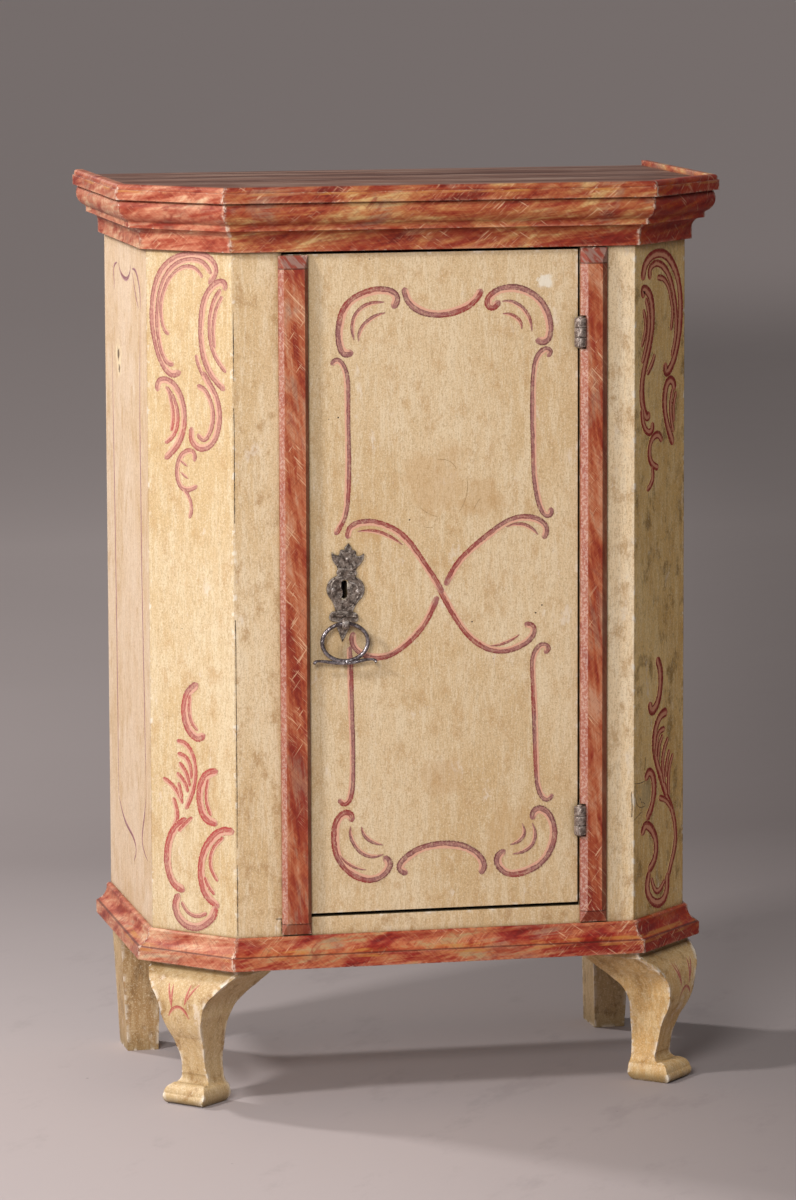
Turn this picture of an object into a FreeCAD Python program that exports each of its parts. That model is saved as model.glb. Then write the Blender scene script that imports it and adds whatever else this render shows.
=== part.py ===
import FreeCAD, Part
import math
import os
import Sketcher

Vector = FreeCAD.Vector
UP = Vector(0, 0, 1)
DOWN = Vector(0, 0, -1)
BACK = Vector(0, 1, 0)
RIGHT = Vector(1, 0, 0)

# The cupboard is a painted pine case on short legs. Its two front corners are cut
# off at a slant, and one door hangs on pin hinges at the right.
# The frame: X to the right, Y to the back, Z up, with the origin on the floor under
# the middle of the whole cupboard. All sizes are in millimetres.

SIZES = {
    # Plan of the case.
    "front_width": 466.0,
    "case_width": 630.0,
    "cant_depth": 87.0,
    "case_depth": 377.0,
    "board": 20.0,
    "back_thick": 12.0,
    "back_rebate": 10.0,
    "plank_gap": 0.5,
    # Heights.
    "leg_height": 160.0,
    "case_height": 871.5,
    "top_thick": 11.5,
    # The strip round the edge of the top, with its lip.
    "edge_out": 37.0,
    "edge_thick": 12.0,
    "lip_height": 6.0,
    "lip_step": 2.0,
    "lip_round": 3.5,
    # The cornice moulding.
    "cornice_height": 56.5,
    "cornice_fillet_out": 7.5,
    "cornice_fillet_height": 13.0,
    "cove_radius": 11.5,
    "bead_step": 2.5,
    "bead_height": 6.0,
    "ovolo_out": 33.0,
    "ovolo_foot": 1.5,
    # The base moulding.
    "base_height": 35.5,
    "base_out": 18.2,
    "base_fascia": 14.5,
    "base_quirk": 2.7,
    "base_quirk_height": 1.6,
    "base_cap": 5.5,
    "base_cap_chamfer": 2.0,
    # The door opening and its rails.
    "latch_side": 176.5,
    "hinge_side": 168.5,
    "sill_height": 56.0,
    "head_height": 56.5,
    "rail_lap": 10.0,
    # The door.
    "latch_gap": 2.0,
    "hinge_gap": 2.5,
    "sill_gap": 4.0,
    "head_gap": 3.5,
    "batten_height": 56.0,
    "batten_thick": 18.0,
    "batten_bevel": 7.0,
    "batten_inset": 24.0,
    "batten_from_end": 62.0,
    # The raised strips beside the door.
    "strip_out": 10.6,
    "strip_edge": 4.0,
    "strip_end_bevel": 14.0,
    "door_strip_width": 33.5,
    "door_strip_bevel": 4.7,
    "door_strip_lap": 4.0,
    "door_strip_short": 0.8,
    "post_strip_width": 31.0,
    "post_strip_bevel": 7.0,
    "strip_foot_gap": 2.0,
    "post_strip_gap": 1.5,
    # The floor, the shelves and their cleats.
    "floor_thick": 18.0,
    "shelf_thick": 18.0,
    "shelf_clear": 1.0,
    "shelf_setback": 28.0,
    "lower_shelf_rise": 298.0,
    "upper_shelf_rise": 550.0,
    "cleat_height": 26.0,
    "cleat_thick": 16.0,
    "cleat_from_back": 24.0,
    "cleat_from_corner": 16.0,
    # The glue blocks over the legs.
    "block_width": 70.0,
    "block_depth": 32.0,
    "rear_block": 44.0,
    # The front legs.
    "leg_width": 122.0,
    "leg_reach": 35.5,
    "leg_set_back": 64.0,
    "leg_shift": 5.0,
    # The rear legs.
    "rear_leg_width": 50.0,
    "rear_leg_depth": 61.0,
    "rear_leg_taper": 9.0,
    "rear_leg_inner_taper": 4.0,
    "rear_leg_slope": 5.0,
    # The hinges.
    "hinge_height": 33.0,
    "lower_hinge_rise": 156.0,
    "upper_hinge_drop": 154.0,
    "knuckle_radius": 6.0,
    "knuckle_gap": 0.3,
    "knuckle_stand_off": 1.0,
    "hinge_pin_radius": 2.0,
    "hinge_pin_head": 3.2,
    "hinge_pin_cap": 1.6,
    "running_clearance": 0.05,
    "leaf_thick": 1.0,
    "leaf_depth": 18.0,
    "notch_clearance": 0.8,
    # The lock and its plate.
    "lock_inset": 69.5,
    "lock_rise": 431.0,
    "plate_half_width": 21.5,
    "plate_height": 112.0,
    "plate_top": 53.0,
    "plate_thick": 1.6,
    "plate_lean": 4.0,
    "key_width": 10.0,
    "key_height": 23.5,
    "key_slot_width": 7.0,
    "key_slot_height": 21.0,
    "key_slot_offset": 1.0,
    "nail_head": 2.4,
    "nail_dome": 0.9,
    "nail_spread": 14.3,
    "nail_drop": 1.0,
    "nail_rise": 34.5,
    "case_lock_width": 90.0,
    "case_lock_height": 70.0,
    "case_lock_depth": 17.0,
    "lock_sheet": 1.5,
    "lock_edge_inset": 6.5,
    "bolt_height": 14.0,
    "bolt_thick": 6.0,
    "bolt_length": 58.0,
    "bolt_from_door": 4.0,
    "bolt_out": 5.0,
    "bolt_clearance": 0.4,
    "keeper_width": 9.0,
    "keeper_height": 34.0,
    "keeper_wall": 3.0,
    "keeper_inset": 2.5,
    # The ring handle.
    "ring_width": 53.0,
    "ring_height": 43.0,
    "ring_side_radius": 19.0,
    "ring_wire": 2.0,
    "ring_stand_off": 12.0,
    "ring_drop": 37.0,
    "ring_offset": 3.0,
    "collar_radius": 3.3,
    "collar_length": 5.0,
    "tail_wire": 1.7,
    "tail_low_radius": 34.0,
    "tail_high_radius": 30.0,
    "tail_rise_angle": 20.0,
    "tail_fall_angle": 25.0,
    "tail_drop": 2.4,
    "tail_knob": 2.2,
    "eye_width": 6.0,
    "eye_height": 12.0,
    "eye_front": 5.0,
    "eye_clearance": 0.5,
    # How far a cutting shape runs past the wood that it cuts.
    "overrun": 30.0,
}

# The outlines below were chosen by eye. Each point is a pair of shares.

# Where the middle of a rounded corner lies, in its radius.
ROUND_SHARE = math.sqrt(0.5)

# The ovolo of the cornice: its middle and its end, out in its reach and up in its height.
OVOLO_SHARES = ((1.0, 0.56), (0.93, 0.94))

# The hollow of the base moulding: its middle, across and up.
HOLLOW_SHARES = (0.30, 0.32)

# The front leg from the side, in its reach in front of the case corner (behind it: in
# its set-back) and in its height. The knee stands forward under the base moulding, the
# shin falls back to a thin ankle, and the toe turns forward again.
LEG_FRONT_SHARES = (
    ((0.30, 1.0), None),
    ((0.34, 0.957), (0.255, 0.975)),
    ((0.62, 0.905), (0.46, 0.932)),
    ((0.965, 0.70), (0.88, 0.82)),
    ((0.62, 0.48), (0.86, 0.575)),
    ((0.26, 0.21), (0.37, 0.335)),
    ((0.38, 0.14), (0.265, 0.16)),
    ((0.84, 0.075), (0.70, 0.128)),
    ((0.70, 0.0), (0.87, 0.02)),
)
LEG_BACK_SHARES = (
    ((0.22, 0.0), None),
    ((0.335, 0.085), (0.32, 0.028)),
    ((0.345, 0.545), (0.365, 0.32)),
    ((0.58, 0.735), (0.40, 0.66)),
    ((1.0, 0.91), (0.78, 0.815)),
    ((1.0, 1.0), None),
)

# The front leg from the front: half its width and its height, from the top down. The
# knee flares to the full width of the slanted corner, and the foot widens to a pad.
LEG_HALF_SHARES = (
    ((0.99, 0.945), None),
    ((0.71, 0.825), (0.865, 0.895)),
    ((0.47, 0.65), (0.55, 0.75)),
    ((0.31, 0.40), (0.375, 0.53)),
    ((0.30, 0.20), (0.27, 0.30)),
    ((0.42, 0.125), (0.335, 0.155)),
    ((0.40, 0.0), (0.47, 0.055)),
)

# The lock plate, right half from the tip of the crown down: a crown with horns, a
# heart round the keyhole, a collar and a leaf. Across in its half width, up in its
# height, measured from the keyhole.
PLATE_SHARES = (
    ((0.19, 0.425), None),
    ((0.17, 0.395), None),
    ((0.44, 0.385), (0.33, 0.405)),
    ((0.50, 0.345), (0.44, 0.36)),
    ((0.86, 0.375), (0.70, 0.352)),
    ((0.56, 0.24), (0.78, 0.29)),
    ((0.48, 0.205), None),
    ((0.55, 0.17), None),
    ((0.47, 0.135), None),
    ((0.76, -0.10), (1.0, 0.03)),
    ((0.46, -0.225), (0.56, -0.165)),
    ((0.77, -0.275), (0.66, -0.235)),
    ((0.50, -0.325), (0.72, -0.315)),
    ((0.22, -0.335), None),
    ((0.30, -0.395), (0.34, -0.36)),
)
PLATE_TIP_SHARE = 0.53

# The keyhole in the plate, an S cut, across in its width and up in its height.
KEYHOLE_SHARES = (
    ((-0.52, 0.25), (-0.53, 0.10)),
    ((0.29, 0.36), (-0.13, 0.50)),
    ((0.45, 0.17), None),
    ((0.14, 0.09), None),
    ((0.22, -0.28), (0.27, -0.13)),
    ((-0.53, -0.43), (-0.07, -0.51)),
    ((-0.33, -0.04), (-0.31, -0.17)),
)

doc = FreeCAD.newDocument("cupboard")
sheet = doc.addObject("Spreadsheet::Sheet", "Sizes")


class Size:
    """An amount that knows its value and the sheet expression that gives it."""

    def __init__(self, value, text):
        self.value = float(value)
        self.text = text

    def __add__(self, other):
        other = size_of(other)
        return Size(self.value + other.value, f"({self.text} + {other.text})")

    def __sub__(self, other):
        other = size_of(other)
        return Size(self.value - other.value, f"({self.text} - {other.text})")

    def __mul__(self, other):
        other = size_of(other)
        return Size(self.value * other.value, f"({self.text} * {other.text})")

    def __truediv__(self, other):
        other = size_of(other)
        return Size(self.value / other.value, f"({self.text} / {other.text})")

    def __rsub__(self, other):
        return size_of(other) - self

    def __neg__(self):
        return Size(-self.value, f"(0 - {self.text})")

    __radd__ = __add__
    __rmul__ = __mul__


def size_of(amount):
    return amount if isinstance(amount, Size) else Size(amount, repr(amount))


def root(amount):
    return Size(math.sqrt(amount.value), f"sqrt({amount.text})")


def sine(angle):
    return Size(math.sin(math.radians(angle.value)), f"sin({angle.text} * 1deg)")


def cosine(angle):
    return Size(math.cos(math.radians(angle.value)), f"cos({angle.text} * 1deg)")


def slope_angle(rise, run):
    angle = math.degrees(math.atan2(rise.value, run.value))
    return Size(angle, f"(atan2({rise.text}; {run.text}) / 1deg)")


class Sheet:
    """The driving sizes, read by name."""

    def __getattr__(self, name):
        return Size(SIZES[name], f"Sizes.{name}")


def fill_sheet():
    for line, (name, value) in enumerate(SIZES.items(), start=1):
        sheet.set(f"A{line}", name)
        sheet.set(f"B{line}", str(value))
        sheet.setAlias(f"B{line}", name)
    doc.recompute()


fill_sheet()
s = Sheet()
ZERO = size_of(0)

# What the plan gives: half widths, the slanted corner, and how far a mitre moves for
# each millimetre of offset, at the front corner and at the side corner.
front_half = s.front_width / 2
side_half = s.case_width / 2
cant_across = side_half - front_half
cant_length = root(cant_across * cant_across + s.cant_depth * s.cant_depth)
cant_angle = slope_angle(s.cant_depth, cant_across)
front_mitre = (cant_length - cant_across) / s.cant_depth
side_mitre = (cant_length - s.cant_depth) / cant_across
front_face = (s.edge_out - s.case_depth) / 2
case_bottom = s.leg_height
case_top = s.leg_height + s.case_height
inner_back = s.case_depth - s.back_thick

finished = []


def front_corner(out):
    """The corner of the front and the slant, moved out (or in, if negative)."""
    return front_half + out * front_mitre, -out


def side_corner(out):
    """The corner of the slant and the side, moved out (or in, if negative)."""
    return side_half + out, s.cant_depth - out * side_mitre


def mirrored(corners):
    """The same corners on the left, in the opposite order."""
    return [(-across, along) for across, along in reversed(corners)]


def bind(thing, path, amount):
    thing.setExpression(path, amount.text)


def place(thing, across, back, up, turn=None, axis=UP):
    """Put a piece in the room. A turn is always positive, about its own axis."""
    turn_value = turn.value if turn else 0
    spin = FreeCAD.Rotation(axis, turn_value)
    spot = Vector(across.value, back.value, up.value)
    thing.Placement = FreeCAD.Placement(spot, spin)
    bind(thing, "Placement.Base.x", across)
    bind(thing, "Placement.Base.y", back)
    bind(thing, "Placement.Base.z", up)
    if turn:
        bind(thing, "Placement.Rotation.Angle", turn)


def new_body(label, across=ZERO, back=ZERO, up=ZERO, turn=None, axis=UP):
    """An empty body whose own frame lies on the front face of the case."""
    made = doc.addObject("PartDesign::Body", label)
    made.Label = label
    place(made, across, front_face + back, up, turn, axis)
    finished.append(made)
    return made


PLANES = {"plan": "XY_Plane", "front": "XZ_Plane", "side": "YZ_Plane"}


def new_sketch(body, name, view, shift=None):
    made = body.newObject("Sketcher::SketchObject", f"{body.Label}_{name}")
    planes = body.Origin.OriginFeatures
    support = next(plane for plane in planes if plane.Role == PLANES[view])
    made.AttachmentSupport = [(support, "")]
    made.MapMode = "FlatFace"
    if shift:
        made.AttachmentOffset = FreeCAD.Placement(UP * shift.value, FreeCAD.Rotation())
        bind(made, "AttachmentOffset.Base.z", shift)
    return made


def pin(sketch, edge, end, across, up):
    """Fix one end of an edge by its distances from the sketch's origin."""
    for kind, amount in (("DistanceX", across), ("DistanceY", up)):
        amount = size_of(amount)
        rule = Sketcher.Constraint(kind, -1, 1, edge, end, amount.value)
        number = sketch.addConstraint(rule)
        if amount.text != "0":
            bind(sketch, f"Constraints[{number}]", amount)


def point(across, up):
    return Vector(size_of(across).value, size_of(up).value, 0)


def draw(sketch, corners, closed=True):
    """Draw an outline. A corner is (across, up), or (across, up, bend) where the edge
    that comes to it is an arc through the bend, a pair of its own."""
    count = len(corners)
    edges = []
    steps = range(count) if closed else range(1, count)
    for step in steps:
        start = point(*corners[step - 1][:2])
        end = point(*corners[step][:2])
        if len(corners[step]) == 2:
            edge = sketch.addGeometry(Part.LineSegment(start, end))
            edges.append((edge, 1, 2, corners[step]))
            continue
        bend = corners[step][2]
        edge = sketch.addGeometry(Part.Arc(start, point(*bend), end))
        forward = sketch.getPoint(edge, 1).isEqual(start, Part.Precision.confusion())
        edges.append((edge, 1 if forward else 2, 2 if forward else 1, corners[step]))
    joins = zip(edges, edges[1:] + edges[:1]) if closed else zip(edges, edges[1:])
    for (edge, _, tail, _), (following, head, _, _) in joins:
        sketch.addConstraint(Sketcher.Constraint("Coincident", edge, tail, following, head))
    if not closed:
        first, head, _, _ = edges[0]
        pin(sketch, first, head, *corners[0][:2])
    for edge, _, tail, corner in edges:
        pin(sketch, edge, tail, corner[0], corner[1])
        if len(corner) == 3:
            mark = sketch.addGeometry(Part.Point(point(*corner[2])), True)
            pin(sketch, mark, 1, *corner[2])
            sketch.addConstraint(Sketcher.Constraint("PointOnObject", mark, 1, edge))


def draw_circle(sketch, across, up, radius):
    centre = point(across, up)
    edge = sketch.addGeometry(Part.Circle(centre, UP, radius.value))
    number = sketch.addConstraint(Sketcher.Constraint("Radius", edge, radius.value))
    bind(sketch, f"Constraints[{number}]", radius)
    pin(sketch, edge, 3, across, up)


def rectangle(low_across, high_across, low_up, high_up):
    return [(low_across, low_up), (high_across, low_up), (high_across, high_up), (low_across, high_up)]


def pad(body, name, view, corners, length, shift=None, symmetric=False):
    """Grow the body from an outline."""
    sketch = new_sketch(body, f"{name}_outline", view, shift)
    draw(sketch, corners)
    return grow(body, name, "PartDesign::Pad", sketch, length, symmetric)


def pocket(body, name, view, outlines, length, shift=None, symmetric=False, turned=False):
    """Cut outlines out of the body."""
    sketch = new_sketch(body, f"{name}_cut", view, shift)
    for corners in outlines:
        draw(sketch, corners)
    return grow(body, name, "PartDesign::Pocket", sketch, length, symmetric, turned)


def grow(body, name, kind, sketch, length, symmetric=False, turned=False):
    made = body.newObject(kind, f"{body.Label}_{name}")
    made.Profile = sketch
    made.Length = length.value
    bind(made, "Length", length)
    if symmetric:
        made.SideType = "Symmetric"
    made.Reversed = turned
    sketch.Visibility = False
    return made


def board_from_plan(label, corners, height, up=case_bottom, **extra):
    """A board drawn in plan, with its height given."""
    made = new_body(label, up=up)
    pad(made, "board", "plan", corners, height, **extra)
    return made


# The case: sides, slanted corners, stiles and rails, all mitred where they meet.

def build_side(label, hand):
    """A side board, mitred in front, with a rebate at the back for the planks."""
    inner_across, inner_front = side_corner(-s.board)
    corners = [
        (side_half, s.cant_depth),
        (side_half, s.case_depth),
        (inner_across + s.back_rebate, s.case_depth),
        (inner_across + s.back_rebate, inner_back),
        (inner_across, inner_back),
        (inner_across, inner_front),
    ]
    return board_from_plan(label, corners if hand > 0 else mirrored(corners), s.case_height)


def build_slanted_corner(label, hand):
    corners = [
        (front_half, ZERO),
        (side_half, s.cant_depth),
        side_corner(-s.board),
        front_corner(-s.board),
    ]
    return board_from_plan(label, corners if hand > 0 else mirrored(corners), s.case_height)


def build_stile(label, hand):
    """A stile, mitred to the slanted corner and halved for both rails."""
    opening = s.hinge_side if hand > 0 else s.latch_side
    corners = [(opening, ZERO), (front_half, ZERO), front_corner(-s.board), (opening, s.board)]
    made = board_from_plan(label, corners if hand > 0 else mirrored(corners), s.case_height)
    near, far = opening - s.overrun, opening + s.rail_lap
    if hand < 0:
        near, far = -far, -near
    laps = [
        rectangle(near, far, -s.overrun, s.sill_height),
        rectangle(near, far, s.case_height - s.head_height, s.case_height + s.overrun),
    ]
    pocket(made, "laps", "front", laps, s.board / 2)
    return made


def build_rail(label, height, up):
    """A rail whose halved ends lie in the stiles, flush with their faces."""
    middle = s.board / 2
    left, right = -s.latch_side, s.hinge_side
    corners = [
        (left - s.rail_lap, ZERO),
        (right + s.rail_lap, ZERO),
        (right + s.rail_lap, middle),
        (right, middle),
        (right, s.board),
        (left, s.board),
        (left, middle),
        (left - s.rail_lap, middle),
    ]
    return board_from_plan(label, corners, height, up)


def build_floor():
    right = [front_corner(-s.board), side_corner(-s.board), (side_half - s.board, inner_back)]
    floor_up = case_bottom + s.sill_height - s.floor_thick
    return board_from_plan("floor_board", right + mirrored(right), s.floor_thick, floor_up)


def shelf_corners():
    """A shelf just clear of the walls, with its front edge behind the door."""
    inset = s.board + s.shelf_clear
    across, along = front_corner(-inset)
    front_edge = s.board + s.shelf_setback
    front_across = across + (front_edge - along) * cant_across / s.cant_depth
    back_edge = inner_back - s.shelf_clear
    right = [(front_across, front_edge), side_corner(-inset), (side_half - inset, back_edge)]
    return right + mirrored(right)


def build_cleats():
    """Two battens under each shelf, nailed to the side boards."""
    start = side_corner(-s.board)[1] + s.cleat_from_corner
    length = inner_back - s.cleat_from_back - start
    cleats = []
    for shelf, rise in (("lower", s.lower_shelf_rise), ("upper", s.upper_shelf_rise)):
        for side in ("left", "right"):
            cleat = doc.addObject("Part::Box", f"{shelf}_{side}_cleat")
            bind(cleat, "Length", s.cleat_thick)
            bind(cleat, "Width", length)
            bind(cleat, "Height", s.cleat_height)
            inside = side_half - s.board
            across = -inside if side == "left" else inside - s.cleat_thick
            place(cleat, across, front_face + start, case_bottom + rise - s.cleat_height)
            cleats.append(cleat)
    group = doc.addObject("Part::Compound", "shelf_cleats")
    group.Label = "shelf_cleats"
    group.Links = cleats
    finished.append(group)


def build_back():
    """Three upright planks in the rebates of the sides."""
    edge = side_half - s.board + s.back_rebate
    plank = (edge * 2 - s.plank_gap * 2) / 3
    for step, label in enumerate(("left_back_board", "middle_back_board", "right_back_board")):
        low = (plank + s.plank_gap) * step - edge
        corners = rectangle(low, low + plank, inner_back, s.case_depth)
        board_from_plan(label, corners, s.case_height)


def build_top():
    inner = s.edge_out - s.edge_thick
    right = [front_corner(inner), side_corner(inner), (side_half + inner, s.case_depth)]
    board_from_plan("top_board", right + mirrored(right), s.top_thick, case_top)


# The mouldings. Each one has the profile of its set, pushed out along its face and
# sawn to the mitre at each end.

def faces():
    """For each face: its name, place, turn, half length and the mitres of its ends."""
    middle_across = (front_half + side_half) / 2
    middle_cant = s.cant_depth / 2
    middle_side = (s.cant_depth + s.case_depth) / 2
    side_length = (s.case_depth - s.cant_depth) / 2
    right_angle = slope_angle(s.case_depth, ZERO)
    cant_half = cant_length / 2
    return (
        ("front", ZERO, ZERO, None, UP, front_half, front_mitre, front_mitre),
        ("right_slant", middle_across, middle_cant, cant_angle, UP, cant_half, front_mitre, side_mitre),
        ("left_slant", -middle_across, middle_cant, cant_angle, DOWN, cant_half, side_mitre, front_mitre),
        ("right_side", side_half, middle_side, right_angle, UP, side_length, side_mitre, ZERO),
        ("left_side", -side_half, middle_side, right_angle, DOWN, side_length, ZERO, side_mitre),
    )


def build_moulding(set_name, profile, inner, outer, height, up):
    """Run a profile round the three sides of the case in five mitred lengths."""
    for face, across, back, turn, axis, half, left_mitre, right_mitre in faces():
        made = new_body(f"{set_name}_{face}", across, back, up, turn, axis)
        blank = (half + outer + s.overrun) * 2
        pad(made, "profile", "side", profile, blank, symmetric=True)
        far = half + outer + s.overrun * 2
        ends = []
        for mitre, hand in ((left_mitre, -1), (right_mitre, 1)):
            near_in, near_out = half - s.overrun * mitre, half + (outer + s.overrun) * mitre
            ends.append([
                (near_in * hand, s.overrun),
                (near_out * hand, -outer - s.overrun),
                (far * hand, -outer - s.overrun),
                (far * hand, s.overrun),
            ])
        pocket(made, "mitres", "plan", ends, height + s.overrun, turned=True)


def cornice_profile():
    """From the case out and up: fillet, cove, bead, ovolo and a small top fillet."""
    cove_out = s.cornice_fillet_out + s.cove_radius
    cove_top = s.cornice_fillet_height + s.cove_radius
    cove_bend = s.cove_radius * ROUND_SHARE
    bead_out = cove_out + s.bead_step
    bead_top = cove_top + s.bead_height
    ovolo_start = bead_top + s.ovolo_foot
    ovolo_height = s.cornice_height - ovolo_start
    (middle_out, middle_up), (end_out, end_up) = OVOLO_SHARES
    ovolo_bend = (-s.ovolo_out * middle_out, ovolo_start + ovolo_height * middle_up)
    ovolo_end = -s.ovolo_out * end_out
    return [
        (ZERO, ZERO),
        (-s.cornice_fillet_out, ZERO),
        (-s.cornice_fillet_out, s.cornice_fillet_height),
        (-cove_out, cove_top, (cove_bend - cove_out, s.cornice_fillet_height + cove_bend)),
        (-bead_out, cove_top),
        (-bead_out, bead_top),
        (-bead_out - s.ovolo_foot, ovolo_start),
        (ovolo_end, ovolo_start + ovolo_height * end_up, ovolo_bend),
        (ovolo_end, s.cornice_height),
        (ZERO, s.cornice_height),
    ]


def edge_profile():
    """The strip that covers the edge of the top, with a lip above its surface."""
    inner = s.edge_out - s.edge_thick
    top = s.top_thick + s.lip_height
    lip_out = s.edge_out - s.lip_step
    bend = s.lip_round * (1 - ROUND_SHARE)
    return [
        (-inner, ZERO),
        (-s.edge_out, ZERO),
        (-s.edge_out, s.top_thick),
        (-lip_out, s.top_thick),
        (-lip_out, top - s.lip_round),
        (s.lip_round - lip_out, top, (bend - lip_out, top - bend)),
        (-inner, top),
    ]


def base_profile():
    """From the case out and down: a flat cap, a hollow, a quirk and the fascia."""
    quirk_out = s.base_out - s.base_quirk
    hollow_foot = s.base_fascia + s.base_quirk_height
    hollow_top = s.base_height - s.base_cap_chamfer
    across_share, up_share = HOLLOW_SHARES
    bend_out = s.base_cap + (quirk_out - s.base_cap) * across_share
    bend_up = hollow_foot + (hollow_top - hollow_foot) * up_share
    return [
        (ZERO, ZERO),
        (-s.base_out, ZERO),
        (-s.base_out, s.base_fascia),
        (-quirk_out, hollow_foot),
        (-s.base_cap, hollow_top, (-bend_out, bend_up)),
        (-s.base_cap + s.base_cap_chamfer, s.base_height),
        (ZERO, s.base_height),
    ]


def build_mouldings():
    cornice_up = case_top - s.cornice_height
    build_moulding("cornice", cornice_profile(), ZERO, s.ovolo_out, s.cornice_height, cornice_up)
    edge_inner = s.edge_out - s.edge_thick
    edge_height = s.top_thick + s.lip_height
    build_moulding("top_edge", edge_profile(), edge_inner, s.edge_out, edge_height, case_top)
    build_moulding("base", base_profile(), ZERO, s.base_out, s.base_height, case_bottom)


# The legs. A front leg is sawn twice: the side profile first, then the front outline
# out of that. It stands square to the slanted corner.

def leg_side_corners():
    corners = []
    for (out, up), bend in LEG_FRONT_SHARES:
        corner = (-s.leg_reach * out, s.leg_height * up)
        if bend:
            corner += ((-s.leg_reach * bend[0], s.leg_height * bend[1]),)
        corners.append(corner)
    for (back, up), bend in LEG_BACK_SHARES:
        corner = (s.leg_set_back * back, s.leg_height * up)
        if bend:
            corner += ((s.leg_set_back * bend[0], s.leg_height * bend[1]),)
        corners.append(corner)
    return corners


def leg_waste_corners(hand):
    """What the second saw cut takes off beside the leg."""
    half = s.leg_width / 2
    past = half + s.overrun
    corners = []
    for (across, up), bend in LEG_HALF_SHARES:
        corner = (half * across * hand, s.leg_height * up)
        if bend:
            corner += ((half * bend[0] * hand, s.leg_height * bend[1]),)
        corners.append(corner)
    foot_across = corners[-1][0]
    corners.append((foot_across, -s.overrun))
    corners.append((past * hand, -s.overrun))
    corners.append((past * hand, corners[0][1]))
    return corners


def build_front_leg(label, hand):
    middle_across = (front_half + side_half) / 2 - s.leg_shift * cant_across / cant_length
    middle_back = s.cant_depth / 2 - s.leg_shift * s.cant_depth / cant_length
    axis = UP if hand > 0 else DOWN
    made = new_body(label, middle_across * hand, middle_back, ZERO, cant_angle, axis)
    pad(made, "side_saw", "side", leg_side_corners(), s.leg_width, symmetric=True)
    wastes = [leg_waste_corners(1), leg_waste_corners(-1)]
    depth = (s.leg_reach + s.leg_set_back + s.overrun) * 2
    pocket(made, "front_saw", "front", wastes, depth, symmetric=True)


def build_rear_leg(label, hand):
    """A plain post that tapers on its outer face and a little on the others in sight."""
    made = new_body(label, side_half * hand, s.case_depth)
    outline = [
        (ZERO, s.leg_height),
        (-s.rear_leg_width * hand, s.leg_height),
        ((s.rear_leg_inner_taper - s.rear_leg_width) * hand, ZERO),
        (-s.rear_leg_taper * hand, ZERO),
    ]
    pad(made, "post", "front", outline, s.rear_leg_depth)
    slope = [
        (-s.rear_leg_depth, s.leg_height),
        (-s.rear_leg_depth - s.overrun, s.leg_height),
        (-s.rear_leg_depth - s.overrun, ZERO),
        (s.rear_leg_slope - s.rear_leg_depth, ZERO),
    ]
    pocket(made, "slope", "side", [slope], (s.rear_leg_width + s.overrun) * 2, symmetric=True)


def build_blocks():
    """Glue blocks under the floor, which the legs are screwed to."""
    height = s.sill_height - s.floor_thick
    middle_across = (front_half + side_half) / 2
    for label, hand, axis in (("front_left_block", -1, DOWN), ("front_right_block", 1, UP)):
        made = new_body(label, middle_across * hand, s.cant_depth / 2, case_bottom, cant_angle, axis)
        half = s.block_width / 2
        corners = rectangle(-half, half, s.board, s.board + s.block_depth)
        pad(made, "block", "plan", corners, height)
    for label, hand in (("rear_left_block", -1), ("rear_right_block", 1)):
        inside = side_half - s.board
        low, high = (inside - s.rear_block, inside) if hand > 0 else (-inside, s.rear_block - inside)
        corners = rectangle(low, high, inner_back - s.rear_block, inner_back)
        board_from_plan(label, corners, height)


# The door, hung on the right, and the two raised strips beside it.

door_left = s.latch_gap - s.latch_side
door_right = s.hinge_side - s.hinge_gap
door_bottom = case_bottom + s.sill_height + s.sill_gap
door_top = case_top - s.head_height - s.head_gap
lock_across = door_left + s.lock_inset
lock_up = case_bottom + s.lock_rise


def build_door_panel():
    made = new_body("door_panel", up=door_bottom)
    corners = rectangle(door_left, door_right, ZERO, s.board)
    pad(made, "board", "plan", corners, door_top - door_bottom)
    half = s.key_slot_width / 2
    middle = lock_across - s.key_slot_offset
    low, high = middle - half, middle + half
    rise = lock_up - door_bottom
    straight = (s.key_slot_height - s.key_slot_width) / 2
    slot = [
        (low, rise - straight),
        (high, rise - straight, (middle, rise - straight - half)),
        (high, rise + straight),
        (low, rise + straight, (middle, rise + straight + half)),
    ]
    pocket(made, "key_slot", "front", [slot], s.board)


def build_batten(label, up):
    """A bevelled batten across the back of the door."""
    made = new_body(label, (door_left + door_right) / 2, s.board, up)
    half = s.batten_height / 2
    profile = [
        (ZERO, -half),
        (s.batten_thick, s.batten_bevel - half),
        (s.batten_thick, half - s.batten_bevel),
        (ZERO, half),
    ]
    length = door_right - door_left - s.batten_inset * 2
    pad(made, "batten", "side", profile, length, symmetric=True)


def build_strip(label, left, width, bevel, bottom, top):
    """A strip with steep bevels on its long edges and long bevels on its ends."""
    made = new_body(label, left, ZERO, bottom)
    section = [
        (ZERO, ZERO),
        (width, ZERO),
        (width, -s.strip_edge),
        (width - bevel, -s.strip_out),
        (bevel, -s.strip_out),
        (ZERO, -s.strip_edge),
    ]
    length = top - bottom
    pad(made, "strip", "plan", section, length)
    past = s.strip_out + s.overrun
    slope = (s.strip_out - s.strip_edge) / s.strip_end_bevel
    run = s.overrun * slope
    ends = [
        [(-s.strip_edge, ZERO), (-s.strip_out - run, s.strip_end_bevel + s.overrun), (-past, -s.overrun),
         (run - s.strip_edge, -s.overrun)],
        [(-s.strip_edge, length), (run - s.strip_edge, length + s.overrun), (-past, length + s.overrun),
         (-s.strip_out - run, length - s.strip_end_bevel - s.overrun)],
    ]
    pocket(made, "ends", "side", ends, width, turned=True)
    return made


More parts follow.
